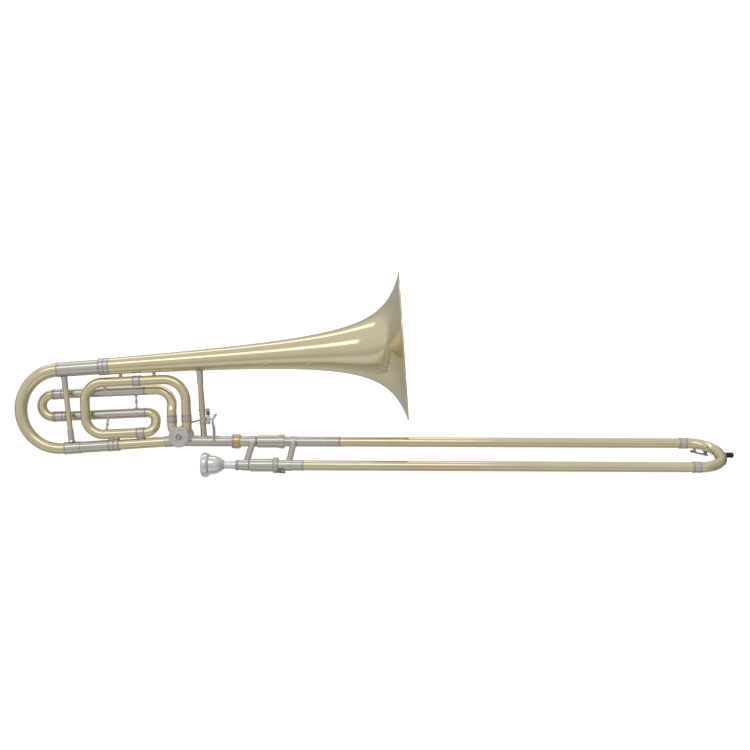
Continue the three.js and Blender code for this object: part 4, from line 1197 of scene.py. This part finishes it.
def make_water_key():
    """The key: a curved lever with a thumb plate at one end and its cork cup under the nipple."""
    place = spun(at(SLIDE, *KEY_HINGE), KEY_LEAN, "Z")
    line = curved([
        (4.6, 0, -1.6), (1, 0, 0), (-KEY_REACH / 2, 0, -0.9), (-KEY_REACH, 0, -0.4),
        (-KEY_REACH - 3.5, 0, -0.5), (-KEY_REACH - 6.5, 0, 0.5)])
    widths = [(0, 0.4), (0.05, 0.6), (0.2, 0.66), (0.35, 0.6), (0.62, 0.58), (0.76, 0.7), (0.88, 1),
              (0.96, 1), (0.985, 0.7), (1, 0.3)]
    half_width = 2.7
    shape = Shape()
    shape.tube(place, headed(line), lambda s: half_width * stepped(widths, s), flat=0.85, sides=28)
    shape.sleeve(at(place, z=0.1) @ ABOUT_Y, -1.9, 1.9, 1.6, edge=0.4, sides=32)
    cup = at(place, -KEY_REACH) @ ABOUT_Z
    pad_top = -BOW_TUBE - 3.5 - KEY_HINGE.z
    cup_top = pad_top - 0.8
    shape.turn_soft(cup, [
        (-0.9, 0), (-0.9, 2), (-0.2, 2.8), (cup_top, 2.9), (cup_top, 0)], 0.4, 40)
    shape.finish = 1
    shape.sleeve(cup, 0, pad_top, 2.3, edge=0.3, sides=40)
    shape.piece("water_key", "dark_steel", "cork")


# ---------------- mouthpiece


def make_mouthpiece():
    """The mouthpiece: a rounded rim, a deep cup, its throat and a tapered shank."""
    low, high = span("mouthpiece", MOUTH_TUBE)
    end = high.x - low.x
    rim = 12.4
    # Each outline has its place behind the mouthpiece's front and how far it is inside its widest.
    front = [(1.6, 6.6), (0.2, 5.4), (0, 3.8), (1, 1.6), (3.6, 0.3), (6.4, 0), (9.4, 0.8), (11.6, 2.5),
             (rim, 4.3)]
    body = [(rim + 0.3, 4.4), (20, 5), (27, 7.4), (32.5, 10.6), (36, 13.2), (39.5, 13.8), (47, 13.5),
            (55, 13)]
    shank = [(56, 6.6), (end, 6.4), (end, 5.4)]
    inside = [(end, 5.3), (51, 4.4), (32, 3.6), (29, 4.6), (25, 7.2), (15, 11.4), (6, 12.6), (2.6, 12.8)]
    inset = lambda outline: [(along, high.z - depth) for along, depth in outline]
    profile = curved(inset(front), 6) + curved(inset(body)) + softened(shank, 0.3, closed=False)
    shape = Shape()
    shape.turn(at(MOUTH_TUBE, low.x), profile + curved(inside, 6), sides=96)
    shape.piece("mouthpiece")


# ---------------- the instrument


def make_instrument():
    make_bell()
    make_plain_turned()
    make_main_bow()
    make_f_tubes()
    make_main_bow_brace()
    make_posts()
    make_stays()
    make_casing()
    make_valve_cap()
    make_rotor()
    make_stop_arm()
    make_bell_brace()
    make_hinge_block()
    make_spring()
    make_trigger()
    make_link_rod()
    make_lock_nut()
    make_slide_lock()
    make_mouth_sleeve()
    make_slide_braces()
    bent_tube("slide_bow", SLIDE, bow_route(), BOW_TUBE, 64)
    make_bow_guard()
    make_key_seat()
    make_water_key()
    make_mouthpiece()


# ---------------- studio

CAD_LOW, CAD_HIGH = cad_box
MIDDLE = (CAD_LOW + CAD_HIGH) / 2
FLOOR_DROP = 0.75  # the instrument is held up this far over the floor


def ramp(tree, factor, stops):
    """A grey that runs straight from one (place, brightness) stop to the next."""
    node = tree.nodes.new("ShaderNodeValToRGB")
    node.color_ramp.interpolation = "LINEAR"
    elements = node.color_ramp.elements
    while len(elements) < len(stops):
        elements.new(0.5)
    for element, (place, grey) in zip(elements, stops):
        element.position = place
        element.color = (grey, grey, grey, 1)
    feed(tree, node, {"Fac": factor})
    return node.outputs["Color"]


def make_floor():
    """A plain pale floor. The metal mirrors the tent's own shades there instead of it."""
    mesh = bpy.data.meshes.new("floor")
    shape = bmesh.new()
    bmesh.ops.create_circle(shape, cap_ends=True, segments=96, radius=40)
    shape.to_mesh(mesh)
    shape.free()
    floor = bpy.data.objects.new("floor", mesh)
    floor.location = (MIDDLE.x, 0, CAD_LOW.z - FLOOR_DROP)
    floor.visible_glossy = False
    bpy.context.scene.collection.objects.link(floor)
    material = bpy.data.materials.new("studio_floor")
    tree, shader = nodes_of(material)
    tone = between(tree, noise(tree, 1.5, 2), 0, 1)
    colour = mixed(tree, tone, (0.90, 0.90, 0.90), (0.88, 0.88, 0.885))
    feed(tree, shader, {"Base Color": colour, "Roughness": 0.9})
    mesh.materials.append(material)


# What a long level tube mirrors as one goes round it: 0 is level towards the camera, 90 overhead
# and 180 level behind; the second number is how bright it is there.
TENT = [(-180, 0.36), (-150, 0.46), (-125, 0.54), (-97, 0.40), (-78, 0.33), (-62, 0.62), (-45, 0.68),
        (-30, 0.45), (-16, 0.54), (0, 0.62), (46, 0.66), (80, 0.68), (125, 0.68), (150, 0.48), (180, 0.36)]


def arithmetic(tree, operation, *values):
    node = tree.nodes.new("ShaderNodeMath")
    node.operation = operation
    feed(tree, node, dict(enumerate(values)))
    return node.outputs["Value"]


def eased(tree, *limits):
    return ranged(tree, *limits, "SMOOTHSTEP")


def make_sky():
    """A white tent. Its shades are what the metal mirrors; all else sees it as even white."""
    world = bpy.data.worlds.new("studio")
    bpy.context.scene.world = world
    world.use_nodes = True
    tree = world.node_tree
    back = tree.nodes["Background"]
    direction = tree.nodes.new("ShaderNodeTexCoord")
    split = tree.nodes.new("ShaderNodeSeparateXYZ")
    feed(tree, split, {"Vector": direction.outputs["Generated"]})
    x, y, z = split.outputs
    forward = arithmetic(tree, "MULTIPLY", y, -1)
    around = arithmetic(tree, "ARCTAN2", z, forward)
    share = arithmetic(tree, "MULTIPLY_ADD", around, 1 / math.tau, 0.5)
    round_tube = ramp(tree, share, [(angle / 360 + 0.5, grey) for angle, grey in TENT])
    # The right-hand side is shaded, and so is a patch straight ahead where the camera stands.
    side = eased(tree, x, 0.35, 0.9, 1, 0.6)
    off_x = arithmetic(tree, "MULTIPLY", arithmetic(tree, "SUBTRACT", x, 0.07), 0.6)
    squares = [arithmetic(tree, "POWER", value, 2) for value in (off_x, z)]
    spot = arithmetic(tree, "SQRT", arithmetic(tree, "ADD", *squares))
    camera = eased(tree, spot, 0.03, 0.14, 0.6, 1)
    ahead = eased(tree, forward, 0.0, 0.5, 0, 1)
    dimmed = arithmetic(tree, "MULTIPLY", ahead, arithmetic(tree, "SUBTRACT", 1, camera))
    shade = arithmetic(tree, "MULTIPLY", side, arithmetic(tree, "SUBTRACT", 1, dimmed))
    shades = mixed(tree, 1, round_tube, shade, "MULTIPLY")
    white = (1.25, 1.25, 1.25)
    glossy_ray = tree.nodes.new("ShaderNodeLightPath").outputs["Is Glossy Ray"]
    feed(tree, back, {"Color": mixed(tree, glossy_ray, white, shades), "Strength": 1.0})


STRIP_LENGTH = 2.6
STRIP_MIDDLE = -0.7  # the strips end over the bell's rim, so the slide's far half mirrors only the tent


def add_strip(name, elevation, distance, width, glow):
    """A long soft light over the instrument. elevation goes from level in front, 0, over the top;
    glow is how bright it looks, where 1 is white."""
    angle = math.radians(elevation)
    lamp = bpy.data.lights.new(name, "AREA")
    lamp.shape = "RECTANGLE"
    lamp.size, lamp.size_y = STRIP_LENGTH, width
    lamp.energy = glow * math.pi * STRIP_LENGTH * width
    light = bpy.data.objects.new(name, lamp)
    away = Vector((0, -math.cos(angle), math.sin(angle)))
    light.location = Vector((STRIP_MIDDLE, 0, MIDDLE.z)) + away * distance
    light.rotation_mode = "QUATERNION"
    light.rotation_quaternion = Matrix((ALONG, away.cross(ALONG), away)).transposed().to_quaternion()
    light.visible_camera = False
    bpy.context.scene.collection.objects.link(light)


def make_camera():
    """Level, almost square to the bell section, at the height of the instrument's middle."""
    target = Vector((MIDDLE.x + 0.0126, 0, MIDDLE.z - 0.0034))
    distance, turn, roll = 1.8, math.radians(1.5), math.radians(-0.15)
    lens = bpy.data.cameras.new("camera")
    lens.lens = 52.5
    lens.clip_end = 200
    camera = bpy.data.objects.new("camera", lens)
    camera.location = target + Vector((math.sin(turn), -math.cos(turn), 0)) * distance
    camera.rotation_euler = (math.pi / 2, roll, turn)
    bpy.context.scene.collection.objects.link(camera)
    bpy.context.scene.camera = camera
    bpy.context.scene.view_settings.view_transform = "Standard"


make_instrument()
make_floor()
make_sky()
add_strip("front_strip", 35, 2.6, 0.75, 1.1)
add_strip("top_strip", 104, 2.2, 0.50, 1.1)
make_camera()
